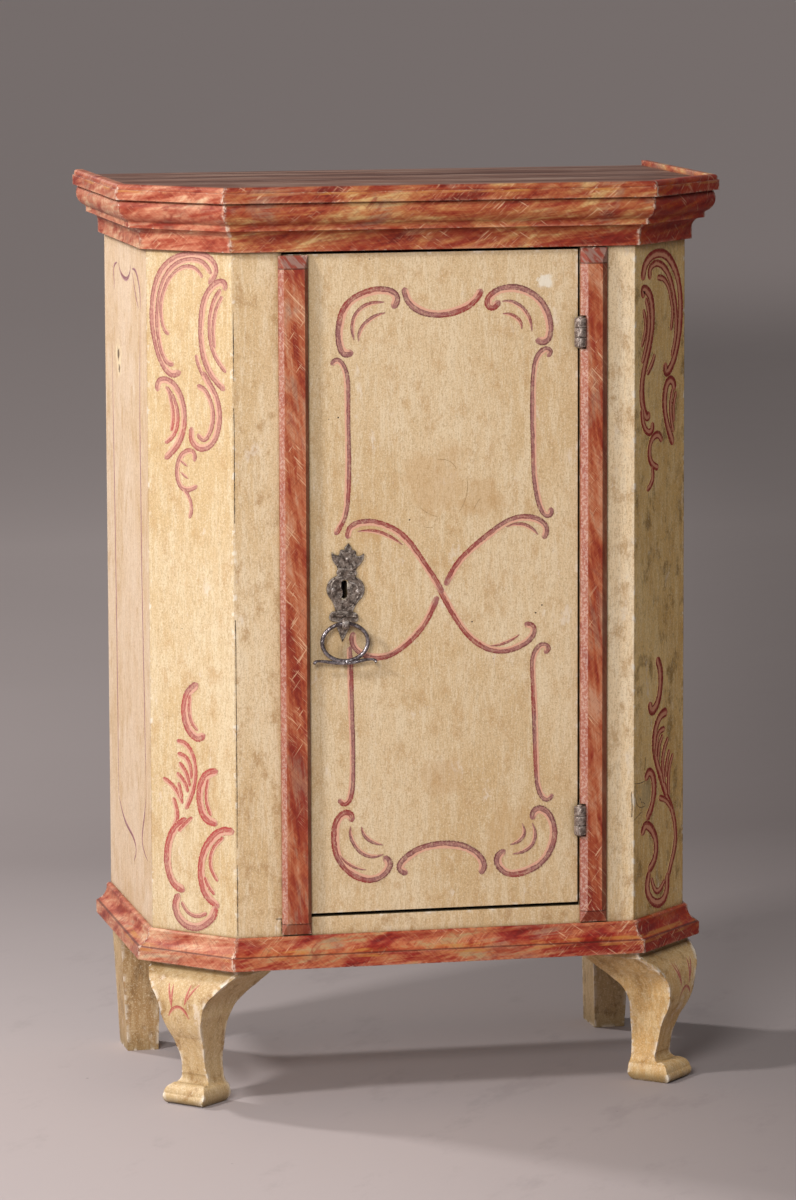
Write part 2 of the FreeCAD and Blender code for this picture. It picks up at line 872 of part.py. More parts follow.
hinge_across = s.hinge_side - s.hinge_gap / 2
hinge_back = -s.knuckle_radius - s.knuckle_stand_off
hinge_ups = (
    ("lower", case_bottom + s.lower_hinge_rise - s.hinge_height / 2),
    ("upper", case_top - s.upper_hinge_drop - s.hinge_height / 2),
)


def build_strips():
    left = -s.latch_side - s.door_strip_lap
    bottom = case_bottom + s.base_height + s.strip_foot_gap
    top = door_top - s.door_strip_short
    build_strip("door_strip", left, s.door_strip_width, s.door_strip_bevel, bottom, top)
    bottom = case_bottom + s.base_height + s.post_strip_gap
    top = case_top - s.cornice_height - s.post_strip_gap
    post = build_strip("post_strip", s.hinge_side, s.post_strip_width, s.post_strip_bevel, bottom, top)
    notch = hinge_across + s.knuckle_radius + s.notch_clearance - s.hinge_side
    spare = s.hinge_pin_cap + s.notch_clearance
    notches = []
    for _, up in hinge_ups:
        low, high = up - bottom - spare, up - bottom + s.hinge_height + spare
        notches.append(rectangle(-s.overrun, notch, low, high))
    pocket(post, "hinge_notches", "front", notches, s.strip_out, turned=True)


def build_hinges():
    """Pin hinges: the post carries the outer knuckles, the door the middle one."""
    knuckle = (s.hinge_height - s.knuckle_gap * 2) / 3
    step = knuckle + s.knuckle_gap
    half_gap = s.hinge_gap / 2
    leaf_front = s.knuckle_radius + s.knuckle_gap
    leaf_back = s.knuckle_radius + s.knuckle_stand_off + s.leaf_depth
    for name, up in hinge_ups:
        leaves = (
            (f"{name}_hinge_post_leaf", half_gap - s.leaf_thick, half_gap, (ZERO, step * 2), ZERO),
            (f"{name}_hinge_door_leaf", -half_gap, s.leaf_thick - half_gap, (step,), s.running_clearance),
        )
        for label, low, high, starts, clearance in leaves:
            made = new_body(label, hinge_across, hinge_back, up)
            pad(made, "leaf", "plan", rectangle(low, high, leaf_front, leaf_back), s.hinge_height)
            for count, start in enumerate(starts, start=1):
                neck = rectangle(low, high, s.knuckle_radius / 2, leaf_front)
                pad(made, f"neck_{count}", "plan", neck, knuckle, shift=start)
                barrel = new_sketch(made, f"barrel_{count}_outline", "plan", start)
                draw_circle(barrel, ZERO, ZERO, s.knuckle_radius)
                grow(made, f"barrel_{count}", "PartDesign::Pad", barrel, knuckle)
            bore = new_sketch(made, "bore_cut", "plan")
            draw_circle(bore, ZERO, ZERO, s.hinge_pin_radius + clearance)
            grow(made, "bore", "PartDesign::Pocket", bore, s.hinge_height, turned=True)
        build_hinge_pin(f"{name}_hinge_pin", up)


def build_hinge_pin(label, up):
    """A turned pin with a bevelled head at each end, closed over the knuckles."""
    made = new_body(label, hinge_across, hinge_back, up)
    sketch = new_sketch(made, "half", "front")
    cap, top = s.hinge_pin_cap, s.hinge_height
    draw(sketch, [
        (ZERO, -cap),
        (s.hinge_pin_radius, -cap),
        (s.hinge_pin_head, -cap / 2),
        (s.hinge_pin_head, ZERO),
        (s.hinge_pin_radius, ZERO),
        (s.hinge_pin_radius, top),
        (s.hinge_pin_head, top),
        (s.hinge_pin_head, top + cap / 2),
        (s.hinge_pin_radius, top + cap),
        (ZERO, top + cap),
    ])
    turned = made.newObject("PartDesign::Revolution", f"{label}_turned")
    turned.Profile = sketch
    turned.ReferenceAxis = (sketch, ["V_Axis"])
    turned.Angle = 360


# The lock: a plate in front, an iron case behind the door, its bolt and the keeper.

def shared_corners(shares, across_size, up_size, hand=1):
    corners = []
    for (across, up), bend in shares:
        corner = (across_size * across * hand, up_size * up)
        if bend:
            corner += ((across_size * bend[0] * hand, up_size * bend[1]),)
        corners.append(corner)
    return corners


def plate_corners():
    """Both halves of the plate: down the right, and up the left the other way."""
    right = shared_corners(PLATE_SHARES, s.plate_half_width, s.plate_height)
    tip = (ZERO, -s.plate_height * PLATE_TIP_SHARE)
    left = []
    bend = None
    for corner in reversed(right):
        across, up = corner[:2]
        left.append((-across, up) if bend is None else (-across, up, (-bend[0], bend[1])))
        bend = corner[2] if len(corner) == 3 else None
    return [(ZERO, s.plate_top)] + right + [tip] + left


def build_plate():
    made = new_body("escutcheon_plate", lock_across, ZERO, lock_up, s.plate_lean, BACK)
    pad(made, "plate", "front", plate_corners(), s.plate_thick)
    keyhole = shared_corners(KEYHOLE_SHARES, s.key_width, s.key_height)
    pocket(made, "keyhole", "front", [keyhole], s.plate_thick, turned=True)


def build_nails():
    """Three bevelled nail heads on the plate."""
    lean_across, lean_up = sine(s.plate_lean), cosine(s.plate_lean)
    spots = (
        ("crown", ZERO, s.nail_rise),
        ("left", -s.nail_spread, -s.nail_drop),
        ("right", s.nail_spread, -s.nail_drop),
    )
    quarter_turn = slope_angle(s.case_depth, ZERO)
    heads = []
    for name, across, up in spots:
        head = doc.addObject("Part::Cone", f"{name}_nail_head")
        bind(head, "Radius1", s.nail_head)
        bind(head, "Radius2", s.nail_head / 2)
        bind(head, "Height", s.nail_dome)
        spot_across = lock_across + across * lean_up + up * lean_across
        spot_up = lock_up + up * lean_up - across * lean_across
        place(head, spot_across, front_face - s.plate_thick, spot_up, quarter_turn, RIGHT)
        heads.append(head)
    group = doc.addObject("Part::Compound", "escutcheon_nails")
    group.Label = "escutcheon_nails"
    group.Links = heads
    finished.append(group)


bolt_rest = door_left + s.keeper_inset / 2


def build_lock_case():
    """An iron box on the back of the door, open towards it, with a slot for the bolt."""
    made = new_body("lock_case", door_left + s.lock_edge_inset, s.board, lock_up)
    half = s.case_lock_height / 2
    outer = rectangle(ZERO, s.case_lock_width, ZERO, s.case_lock_depth)
    pad(made, "box", "plan", outer, s.case_lock_height, shift=-half)
    sheet = s.lock_sheet
    hollow = rectangle(sheet, s.case_lock_width - sheet, sheet - half, half - sheet)
    pocket(made, "hollow", "front", [hollow], s.case_lock_depth - s.lock_sheet)
    slot_half = s.bolt_height / 2 + s.bolt_clearance
    low = s.bolt_from_door - s.bolt_clearance
    high = s.bolt_from_door + s.bolt_thick + s.bolt_clearance
    slot = rectangle(low, high, -slot_half, slot_half)
    pocket(made, "bolt_slot", "side", [slot], s.lock_sheet, turned=True)


def build_bolt():
    """The bolt, drawn back: its end is level with the door's edge."""
    made = new_body("lock_bolt", bolt_rest, s.board + s.bolt_from_door, lock_up)
    half = s.bolt_height / 2
    corners = rectangle(ZERO, s.bolt_length, ZERO, s.bolt_thick)
    pad(made, "bar", "plan", corners, s.bolt_height, shift=-half)
    notch = s.bolt_thick
    tail = rectangle(s.bolt_length - notch * 2, s.bolt_length - notch, -half - s.overrun, notch / 2 - half)
    pocket(made, "tail_notch", "front", [tail], s.bolt_thick)


def build_keeper():
    """An iron loop behind the stile that the bolt goes into."""
    across = -s.latch_side - s.keeper_inset - s.keeper_width
    made = new_body("bolt_keeper", across, s.board, lock_up)
    half = s.keeper_height / 2
    depth = s.bolt_from_door + s.bolt_thick + s.bolt_clearance + s.keeper_wall
    outer = rectangle(ZERO, s.keeper_width, ZERO, depth)
    pad(made, "block", "plan", outer, s.keeper_height, shift=-half)
    hole_half = s.bolt_height / 2 + s.bolt_clearance
    hole = rectangle(s.bolt_from_door - s.bolt_clearance, depth - s.keeper_wall, -hole_half, hole_half)
    pocket(made, "hole", "side", [hole], s.keeper_width, turned=True)
    foot = s.keeper_wall
    gap = rectangle(foot, depth, hole_half + foot, half + s.overrun)
    lower_gap = rectangle(foot, depth, -half - s.overrun, -hole_half - foot)
    pocket(made, "feet", "side", [gap, lower_gap], s.keeper_width, turned=True)


# The ring handle: an oval ring that hangs in an eye, with a scrolled bar at its foot.

ROD_SIDES = 8
ring_across = lock_across - s.ring_offset
ring_back = -s.ring_stand_off
ring_up = lock_up - s.ring_drop


def build_eye():
    """A forged stud through the plate whose eye holds the ring."""
    made = new_body("handle_eye", ring_across, ZERO, ring_up)
    half = s.eye_height / 2
    front = s.ring_stand_off + s.eye_front
    nose = front - half
    side = [
        (-s.plate_thick, -half),
        (-s.plate_thick, half),
        (-nose, half),
        (-nose, -half, (-front, ZERO)),
    ]
    pad(made, "stud", "side", side, s.eye_width, symmetric=True)
    bore = new_sketch(made, "bore_cut", "side")
    draw_circle(bore, -s.ring_stand_off, ZERO, s.ring_wire + s.eye_clearance)
    grow(made, "bore", "PartDesign::Pocket", bore, s.eye_width * 2, symmetric=True)


def rod(label, centre_across, centre_up, bend_radius, wire, start, swing):
    """A bent rod: part of a ring drawn flat, from its start angle through its swing."""
    section = doc.addObject("Part::RegularPolygon", f"{label}_section")
    section.Polygon = ROD_SIDES
    bind(section, "Circumradius", wire)
    place(section, bend_radius, ZERO, ZERO, slope_angle(s.ring_width, ZERO), RIGHT)
    made = doc.addObject("Part::Revolution", label)
    made.Source = section
    made.Base = Vector()
    made.Axis = UP
    made.Solid = True
    made.Angle = swing.value
    bind(made, "Angle", swing)
    place(made, centre_across, centre_up, ZERO, start)
    return made


def faceted_bar(label, radius, length):
    """A short straight bar with the same number of sides as the rods."""
    made = doc.addObject("Part::Prism", label)
    made.Polygon = ROD_SIDES
    bind(made, "Circumradius", radius)
    bind(made, "Height", length)
    return made


def build_oval():
    """The oval ring under its top point: two close bends joined by two wide ones."""
    half_width, half_height = s.ring_width / 2, s.ring_height / 2
    side = s.ring_side_radius
    side_offset = half_width - side
    spare = half_height - side
    wide_offset = (side_offset * side_offset - spare * spare) / (spare * 2)
    wide = wide_offset + half_height
    join = slope_angle(wide_offset, side_offset)
    half_turn = slope_angle(ZERO, -s.ring_width)
    side_swing = join * 2
    wide_swing = half_turn - side_swing
    return [
        rod("ring_right", side_offset, -half_height, side, s.ring_wire, half_turn * 2 - join, side_swing),
        rod("ring_top", ZERO, -half_height - wide_offset, wide, s.ring_wire, join, wide_swing),
        rod("ring_left", -side_offset, -half_height, side, s.ring_wire, half_turn - join, side_swing),
        rod("ring_foot", ZERO, wide_offset - half_height, wide, s.ring_wire, half_turn + join, wide_swing),
    ]


def build_tail(name, hand):
    """One side of the bar: level from the collar, up, over and down to its knob."""
    rise, fall = s.tail_rise_angle, s.tail_fall_angle
    low, high = s.tail_low_radius, s.tail_high_radius
    level = -s.ring_height - s.tail_drop
    quarter_turn = slope_angle(s.ring_width, ZERO)
    join_across = low * sine(rise)
    join_up = level + low * (1 - cosine(rise))
    top_across = join_across + high * sine(rise)
    top_up = join_up - high * cosine(rise)
    end_across = top_across + high * sine(fall)
    end_up = top_up + high * cosine(fall)
    low_start = quarter_turn * 3 if hand > 0 else quarter_turn * 3 - rise
    high_start = quarter_turn - fall if hand > 0 else quarter_turn - rise
    knob = faceted_bar(f"{name}_knob", s.tail_knob, s.tail_knob * 2)
    place(knob, end_across * hand, end_up, -s.tail_knob)
    return [
        rod(f"{name}_low", ZERO, level + low, low, s.tail_wire, low_start, rise),
        rod(f"{name}_high", top_across * hand, top_up, high, s.tail_wire, high_start, rise + fall),
        knob,
    ]


def build_ring():
    """The forged ring, drawn flat, welded together and stood upright in its eye."""
    quarter_turn = slope_angle(s.ring_width, ZERO)
    collar = faceted_bar("ring_collar", s.collar_radius, s.collar_length)
    place(collar, -s.collar_length / 2, -s.ring_height - s.tail_drop / 2, ZERO, quarter_turn, BACK)
    ring = doc.addObject("Part::MultiFuse", "ring_handle")
    ring.Label = "ring_handle"
    ring.Shapes = build_oval() + build_tail("left_tail", -1) + build_tail("right_tail", 1) + [collar]
    place(ring, ring_across, front_face + ring_back, ring_up, quarter_turn, RIGHT)
    finished.append(ring)


def build_all():
    for hand, name in ((-1, "left"), (1, "right")):
        build_side(f"{name}_side_board", hand)
        build_slanted_corner(f"{name}_slanted_board", hand)
        build_stile(f"{name}_stile", hand)
        build_front_leg(f"front_{name}_leg", hand)
        build_rear_leg(f"rear_{name}_leg", hand)
    build_rail("bottom_rail", s.sill_height, case_bottom)
    build_rail("top_rail", s.head_height, case_top - s.head_height)
    build_floor()
    for label, rise in (("lower_shelf", s.lower_shelf_rise), ("upper_shelf", s.upper_shelf_rise)):
        board_from_plan(label, shelf_corners(), s.shelf_thick, case_bottom + rise)
    build_cleats()
    build_back()
    build_top()
    build_mouldings()
    build_blocks()
    build_door_panel()
    build_batten("lower_door_batten", door_bottom + s.batten_from_end)
    build_batten("upper_door_batten", door_top - s.batten_from_end)
    build_strips()
    build_hinges()
    build_plate()
    build_nails()
    build_lock_case()
    build_bolt()
    build_keeper()
    build_eye()
    build_ring()


def check_model():
    """Stop if any object failed, any cut took nothing, or any piece is not sound."""
    for thing in doc.Objects:
        bad = {"Invalid", "Error"} & set(thing.State)
        if bad:
            raise RuntimeError(f"{thing.Label} is {bad}")
        if thing.TypeId == "PartDesign::Pocket":
            if thing.Shape.Volume >= thing.BaseFeature.Shape.Volume:
                raise RuntimeError(f"{thing.Label} cuts nothing")
        if thing.TypeId == "Sketcher::SketchObject" and not thing.FullyConstrained:
            raise RuntimeError(f"{thing.Label} is not fully constrained")
    for thing in finished:
        if thing.Shape.isNull() or not thing.Shape.isValid():
            raise RuntimeError(f"{thing.Label} has no sound shape")


def write_parts():
    os.makedirs("parts", exist_ok=True)
    for thing in finished:
        thing.Shape.exportStep(f"parts/{thing.Label}.step")
    whole = Part.makeCompound([thing.Shape for thing in finished])
    box = whole.BoundBox
    print(f"{len(finished)} pieces, {box.XLength:.1f} x {box.YLength:.1f} x {box.ZLength:.1f} mm")
    print(f"from {box.XMin:.1f} {box.YMin:.1f} {box.ZMin:.1f}")
    print(f"to {box.XMax:.1f} {box.YMax:.1f} {box.ZMax:.1f}")


build_all()
doc.recompute()
check_model()
write_parts()
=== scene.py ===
# %% [markdown]
# The painted cupboard, dressed for its portrait.
#
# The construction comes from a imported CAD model, which is loaded as a fixed frame: its
# boards, mouldings, legs, hinges and lock already have their true sizes and places.
# This lesson adds what a carpenter's drawing leaves out. It paints the case, marbles the
# mouldings, draws the scrolls, forges the ironwork and lights the room.

# %% Load the frame
import bmesh
import bpy
import math
from mathutils import Matrix, Vector


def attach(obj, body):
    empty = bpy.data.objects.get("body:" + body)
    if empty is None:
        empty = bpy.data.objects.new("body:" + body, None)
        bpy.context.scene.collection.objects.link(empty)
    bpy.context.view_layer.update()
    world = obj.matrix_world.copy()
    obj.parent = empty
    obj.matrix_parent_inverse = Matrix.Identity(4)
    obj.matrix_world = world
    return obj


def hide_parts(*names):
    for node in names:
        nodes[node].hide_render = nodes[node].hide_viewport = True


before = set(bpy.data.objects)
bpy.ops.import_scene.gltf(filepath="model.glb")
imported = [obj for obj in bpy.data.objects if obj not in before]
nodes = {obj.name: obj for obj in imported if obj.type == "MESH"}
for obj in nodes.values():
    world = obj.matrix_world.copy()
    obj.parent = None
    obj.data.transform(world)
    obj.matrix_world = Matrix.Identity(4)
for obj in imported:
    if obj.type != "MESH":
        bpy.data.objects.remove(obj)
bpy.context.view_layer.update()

# %% [markdown]
# The camera stands where the photographer stood, about six metres away and a little to
# the left. A long lens from far off keeps upright lines upright. A camera could be
# aimed with a constraint, but four plain turns say the same thing and can be read here.

# %% Place the camera
CAMERA_SPOT = (-1.371, -6.251, 1.422)
CAMERA_YAW = -12.31
CAMERA_PITCH = -7.73
CAMERA_ROLL = 0.21
CAMERA_LENS = 166.16


def turn(degrees, axis):
    return Matrix.Rotation(math.radians(degrees), 4, axis)


bpy.ops.object.camera_add()
camera = bpy.context.object
camera.name = "camera"
camera.data.lens = CAMERA_LENS
camera.data.sensor_width = 36.0
camera.data.clip_end = 200.0
aim = turn(CAMERA_YAW, "Z") @ turn(CAMERA_PITCH, "X") @ turn(CAMERA_ROLL, "Y") @ turn(90, "X")
camera.matrix_world = Matrix.Translation(CAMERA_SPOT) @ aim
bpy.context.scene.camera = camera
print("camera", CAMERA_LENS, "mm")

# %% [markdown]
# Shader maths reads best as ordinary sums. `Signal` wraps one socket of a material and
# overloads the operators, so `1 - wear * 0.5` adds the two Math nodes by itself. Every
# other node comes from `Finish.node`, which takes the kind of node, its settings and
# what goes into its sockets.

# %% Write shader maths as sums
class Signal:
    """One output socket of a finish."""

    def __init__(self, finish, socket):
        self.finish = finish
        self.socket = socket

    def maths(self, operation, first, second):
        return self.finish.node("ShaderNodeMath", {"operation": operation}, {0: first, 1: second})

    def __add__(self, other):
        return self.maths("ADD", self, other)

    def __sub__(self, other):
        return self.maths("SUBTRACT", self, other)

    def __rsub__(self, other):
        return self.maths("SUBTRACT", other, self)

    def __mul__(self, other):
        return self.maths("MULTIPLY", self, other)

    def least(self, other):
        return self.maths("MINIMUM", self, other)

    def most(self, other):
        return self.maths("MAXIMUM", self, other)

    def size(self):
        return self.maths("ABSOLUTE", self, 0.0)

    __radd__ = __add__
    __rmul__ = __mul__


def colour(red, green, blue):
    """A screen colour, from 0 to 255, as the linear light that a shader works in."""
    linear = []
    for part in (red, green, blue):
        share = part / 255
        low = share <= 0.04045
        linear.append(share / 12.92 if low else ((share + 0.055) / 1.055) ** 2.4)
    return (*linear, 1.0)


# %% [markdown]
# A finish is a material that is built up like real paint: a ground, soft patches over
# it, then grain, dirt and wear, and painted shade. The same few brushes serve all of
# them, so they are methods of one class: clouds, drawn-out grain, specks, a stain at one
# place, and how near an edge or a corner is, which also lays painted shade in corners.
# All read the place on the object, so no picture is needed.
# A finish keeps the tone that it has so far, and `lay` puts one more coat over it.

# %% Collect the brushes
class Finish:
    """A material that is built up node by node."""

    def __init__(self, name):
        self.material = bpy.data.materials.new(name)
        self.material.use_nodes = True
        self.tree = self.material.node_tree
        self.tree.nodes.clear()
        self.tone = None

    def node(self, kind, settings=None, sockets=None, output=0):
        made = self.tree.nodes.new(kind)
        for name, value in (settings or {}).items():
            setattr(made, name, value)
        for name, value in (sockets or {}).items():
            if isinstance(value, Signal):
                self.tree.links.new(value.socket, made.inputs[name])
            else:
                made.inputs[name].default_value = value
        return Signal(self, made.outputs[output]) if len(made.outputs) else made

    def here(self):
        """Object coordinates, in metres."""
        return self.node("ShaderNodeTexCoord", output="Object")

    def stretched(self, stretch, lean=(0, 0, 0), start=None):
        """Coordinates turned by some degrees, then stretched."""
        bend = [math.radians(part) for part in lean]
        turned = self.node("ShaderNodeMapping", None, {"Vector": start or self.here(), "Rotation": bend})
        return self.node("ShaderNodeMapping", None, {"Vector": turned, "Scale": stretch})

    def grain(self, stretch, scale, detail=4.0, rough=0.55, bent=0.0, lean=(0, 0, 0), start=None):
        """A cloud on stretched coordinates."""
        return self.cloud(self.stretched(stretch, lean, start), scale, detail, rough, bent)

    def cloud(self, where, scale, detail=4.0, rough=0.55, bent=0.0):
        """Smooth noise from 0 to 1."""
        return self.node("ShaderNodeTexNoise", None, {
            "Vector": where, "Scale": scale, "Detail": detail, "Roughness": rough, "Distortion": bent})

    def between(self, value, low, high):
        """0 under low, 1 over high, and a soft step from one to the other."""
        return self.node("ShaderNodeMapRange", {"interpolation_type": "SMOOTHSTEP"}, {
            "Value": value, "From Min": low, "From Max": high})

    def mix(self, share, first, second):
        """The first tone, and as much of the second as share says. Each may be a screen colour."""
        first, second = (part if isinstance(part, Signal) else colour(*part) for part in (first, second))
        return self.node("ShaderNodeMix", {"data_type": "RGBA"}, {0: share, 6: first, 7: second}, output=2)

    def lay(self, share, shade):
        """Lays a coat of one shade over the tone so far."""
        self.tone = self.mix(share, self.tone, shade)

    def ramp(self, value, stops):
        """Tones that follow a value, from stops that each have a place and a screen colour."""
        shaded = self.node("ShaderNodeValToRGB", None, {"Fac": value})
        elements = shaded.socket.node.color_ramp.elements
        while len(elements) < len(stops):
            elements.new(0.5)
        for element, (place, shade) in zip(elements, stops):
            element.position = place
            element.color = colour(*shade)
        return shaded

    def specks(self, where, scale, radius):
        """Scattered round dots."""
        away = self.node("ShaderNodeTexVoronoi", None, {"Vector": where, "Scale": scale})
        return 1 - self.between(away, radius * 0.6, radius)

    def near(self, spot, radius):
        """1 round one place, in metres, with a ragged edge."""
        away = self.vectors("DISTANCE", self.here(), spot, "Value")
        wobble = self.cloud(self.here(), 1.5 / radius, 5.0, 0.7)
        return 1 - self.between(away + (wobble - 0.5) * (radius * 2.4), radius * 0.5, radius)

    def vectors(self, operation, first, second, output=0):
        return self.node("ShaderNodeVectorMath", {"operation": operation}, {0: first, 1: second}, output)

    def part(self, vector, axis):
        """The X, Y or Z of a vector."""
        return self.node("ShaderNodeSeparateXYZ", None, {0: vector}, output=axis)

    def band(self, value, low, high, soft=0.0006):
        """1 between two values."""
        under = 1 - self.between(value, high - soft, high + soft)
        return self.between(value, low - soft, low + soft) * under

    def nearness(self, reach, inside):
        """How much is close by: outside, in a corner, or inside, at an edge."""
        open_share = self.node("ShaderNodeAmbientOcclusion", {
            "samples": 4, "inside": inside, "only_local": inside}, {"Distance": reach}, output="AO")
        return 1 - open_share

    def facing(self, way):
        """How far the surface faces one way of its object, from -1 to 1."""
        normal = self.node("ShaderNodeNewGeometry", output="Normal")
        own = self.node("ShaderNodeVectorTransform", {
            "vector_type": "NORMAL", "convert_from": "WORLD", "convert_to": "OBJECT"}, {"Vector": normal})
        return self.vectors("DOT_PRODUCT", own, way, "Value")

    def inward(self):
        """1 where the surface faces the middle of the case."""
        from_middle = self.vectors("MULTIPLY", self.here(), (1, 1, 0))
        return 1 - self.between(self.facing(from_middle), -0.05, -0.03)

    def rounded(self, radius):
        """Normals that round off every edge of the mesh a little."""
        return self.node("ShaderNodeBevel", {"samples": 4}, {"Radius": radius})

    def done(self, roughness, relief=None, depth=0.0, rounding=0.0, **fixed):
        """The material. Relief stands out by up to depth, on edges rounded by some metres."""
        sockets = {"Base Color": self.tone, "Roughness": roughness, **fixed}
        if relief is not None:
            sockets["Normal"] = self.node("ShaderNodeBump", None, {
                "Height": relief, "Distance": depth, "Strength": 1.0, "Normal": self.rounded(rounding)})
        surface = self.node("ShaderNodeBsdfPrincipled", None, sockets)
        self.node("ShaderNodeOutputMaterial", None, {"Surface": surface})
        return self.material


# %% [markdown]
# The photograph was taken in a studio. The shadows of the feet show two lamps at the
# left, one behind the cupboard and one before it, and a third fills the front. The floor
# here is pale and plain and runs on far behind the cupboard, so that no edge shows and
# the lamps fade out over it. Its few coats follow the tones of the real one from near to
# far, so they hold painted shade, darker round the cupboard, to its right and towards the
# front, and a painted lighter floor far behind. The lamps are only as strong as makes a
# painted colour come out as it is written.

# %% Build the floor and the lamps
FLOOR_SIZE = 160.0
LIT_SPOT = Vector((0, 0, 0.55))
WORLD_LIGHT = 0.32


def floor_paint():
    f = Finish("studio_floor")
    here = f.here()
    back = f.part(here, "Y")
    depth = f.between(back, -1.0, 14.0)
    # Painted light and shade: the ramp darkens the floor round and just behind the cupboard and lightens it
    # far behind.
    f.tone = f.ramp(depth + f.cloud(here, 1.3, 3.0) * 0.02, (
        (0.00, (180, 167, 165)), (0.03, (178, 166, 164)), (0.08, (152, 140, 138)),
        (0.36, (240, 224, 220)), (0.90, (232, 216, 212))))
    scuff = f.grain((1, 0.4, 1), 9.0, 6.0, 0.7, lean=(0, 0, 30))
    f.lay(f.between(scuff, 0.54, 0.68) * (1 - f.between(back, 0.2, 1.6)) * 0.32, (150, 138, 137))
    speck = f.specks(here, 16.0, 0.035) * f.between(f.cloud(here, 7.0), 0.55, 0.60)
    f.lay(speck * 0.8, (88, 76, 72))
    # Painted shade: the floor near the cupboard is darker to its right.
    right = f.part(here, "X") * 0.98 - back * 0.21
    close = 1 - f.between(depth, 0.7, 1.0)
    f.lay(f.between(right, -0.1, 0.9) * close * 0.5, (96, 84, 81))
    # Painted shade: the floor is darker towards the front.
    front = 1 - f.between(back, -3.5, -0.9)
    f.lay(front * 0.75, (112, 102, 100))
    return f.done(0.62 + 0.2 * scuff)


bpy.ops.mesh.primitive_plane_add(size=FLOOR_SIZE)
floor = bpy.context.object
floor.name = "studio_floor"
floor.data.materials.append(floor_paint())

world = bpy.data.worlds.new("studio")
bpy.context.scene.world = world
world.use_nodes = True
sky = world.node_tree.nodes["Background"].inputs
sky["Color"].default_value = colour(214, 212, 212)
sky["Strength"].default_value = WORLD_LIGHT


def soft_lamp(name, to_left, to_top, distance, size, light):
    """A square soft box, aimed at the middle of the cupboard."""
    out = (turn(-to_left, "Z") @ turn(-to_top, "X") @ Vector((0, -1, 0))).normalized()
    spot = LIT_SPOT + out * distance
    bpy.ops.object.light_add(type="AREA", location=spot)
    lamp = bpy.context.object
    lamp.name = name
    lamp.data.shape = "SQUARE"
    lamp.data.size = size
    lamp.data.energy = light * (math.pi * distance) ** 2
    lamp.rotation_euler = (-out).to_track_quat("-Z", "Y").to_euler()
    print(name, [round(part, 2) for part in spot])


LAMPS = (
    # name, degrees to the left, degrees up, metres away, metres wide, light on the cupboard
    ("key_lamp", 63, 30, 3.4, 0.36, 0.56),
    ("back_lamp", 134, 33, 3.4, 0.32, 0.50),
    ("front_lamp", 25, 22, 4.2, 1.2, 0.58),
)
for lamp in LAMPS:
    soft_lamp(*lamp)
bpy.context.scene.view_settings.view_transform = "Standard"

# %% [markdown]
# The cream oil paint has aged for two centuries. Its ground still shows the upright
# brush, patches have gone warm or pale, brown specks have come through, and grease and
# dust have gathered beside every strip, with painted shade beside the strips, in the
# corners and in the gaps. One recipe paints every board, with its own tones, since the
# slanted boards kept more yellow and the sides turned more rose. The right stile and the
# right front leg get lighter copies of their cream, which is painted light, and the rear
# legs a darker copy, which is painted shade. A stain, a chip or a wormy place that
# belongs to one board is given as a spot, and one dark spot is painted shade in the
# keyhole. The faces that look into the case were never painted, so there the old pine
# shows.

# %% Mix the cream paint
def pine_tone(f, lean=(0, 0, 0)):
    """Old pine with its year rings along the board, which lean turns."""
    ring = f.grain((1, 1, 0.05), 80.0, 4.0, 0.6, 0.3, lean)
    fine = f.grain((1, 1, 0.05), 260.0, 4.0, 0.65, lean=lean)
    fibre = f.grain((1, 1, 0.04), 620.0, 3.0, 0.7, lean=lean)
    worn = f.grain((1, 1, 0.3), 6.0, 5.0, 0.65, lean=lean)
    tone = f.mix(f.between(ring, 0.38, 0.62), (188, 146, 98), (152, 108, 66))
    tone = f.mix(f.between(fine, 0.48, 0.60) * 0.45, tone, (128, 86, 50))
    tone = f.mix(f.between(fibre, 0.48, 0.64) * 0.45, tone, (206, 170, 124))
    return f.mix(f.between(worn, 0.48, 0.66) * 0.45, tone, (118, 86, 56))


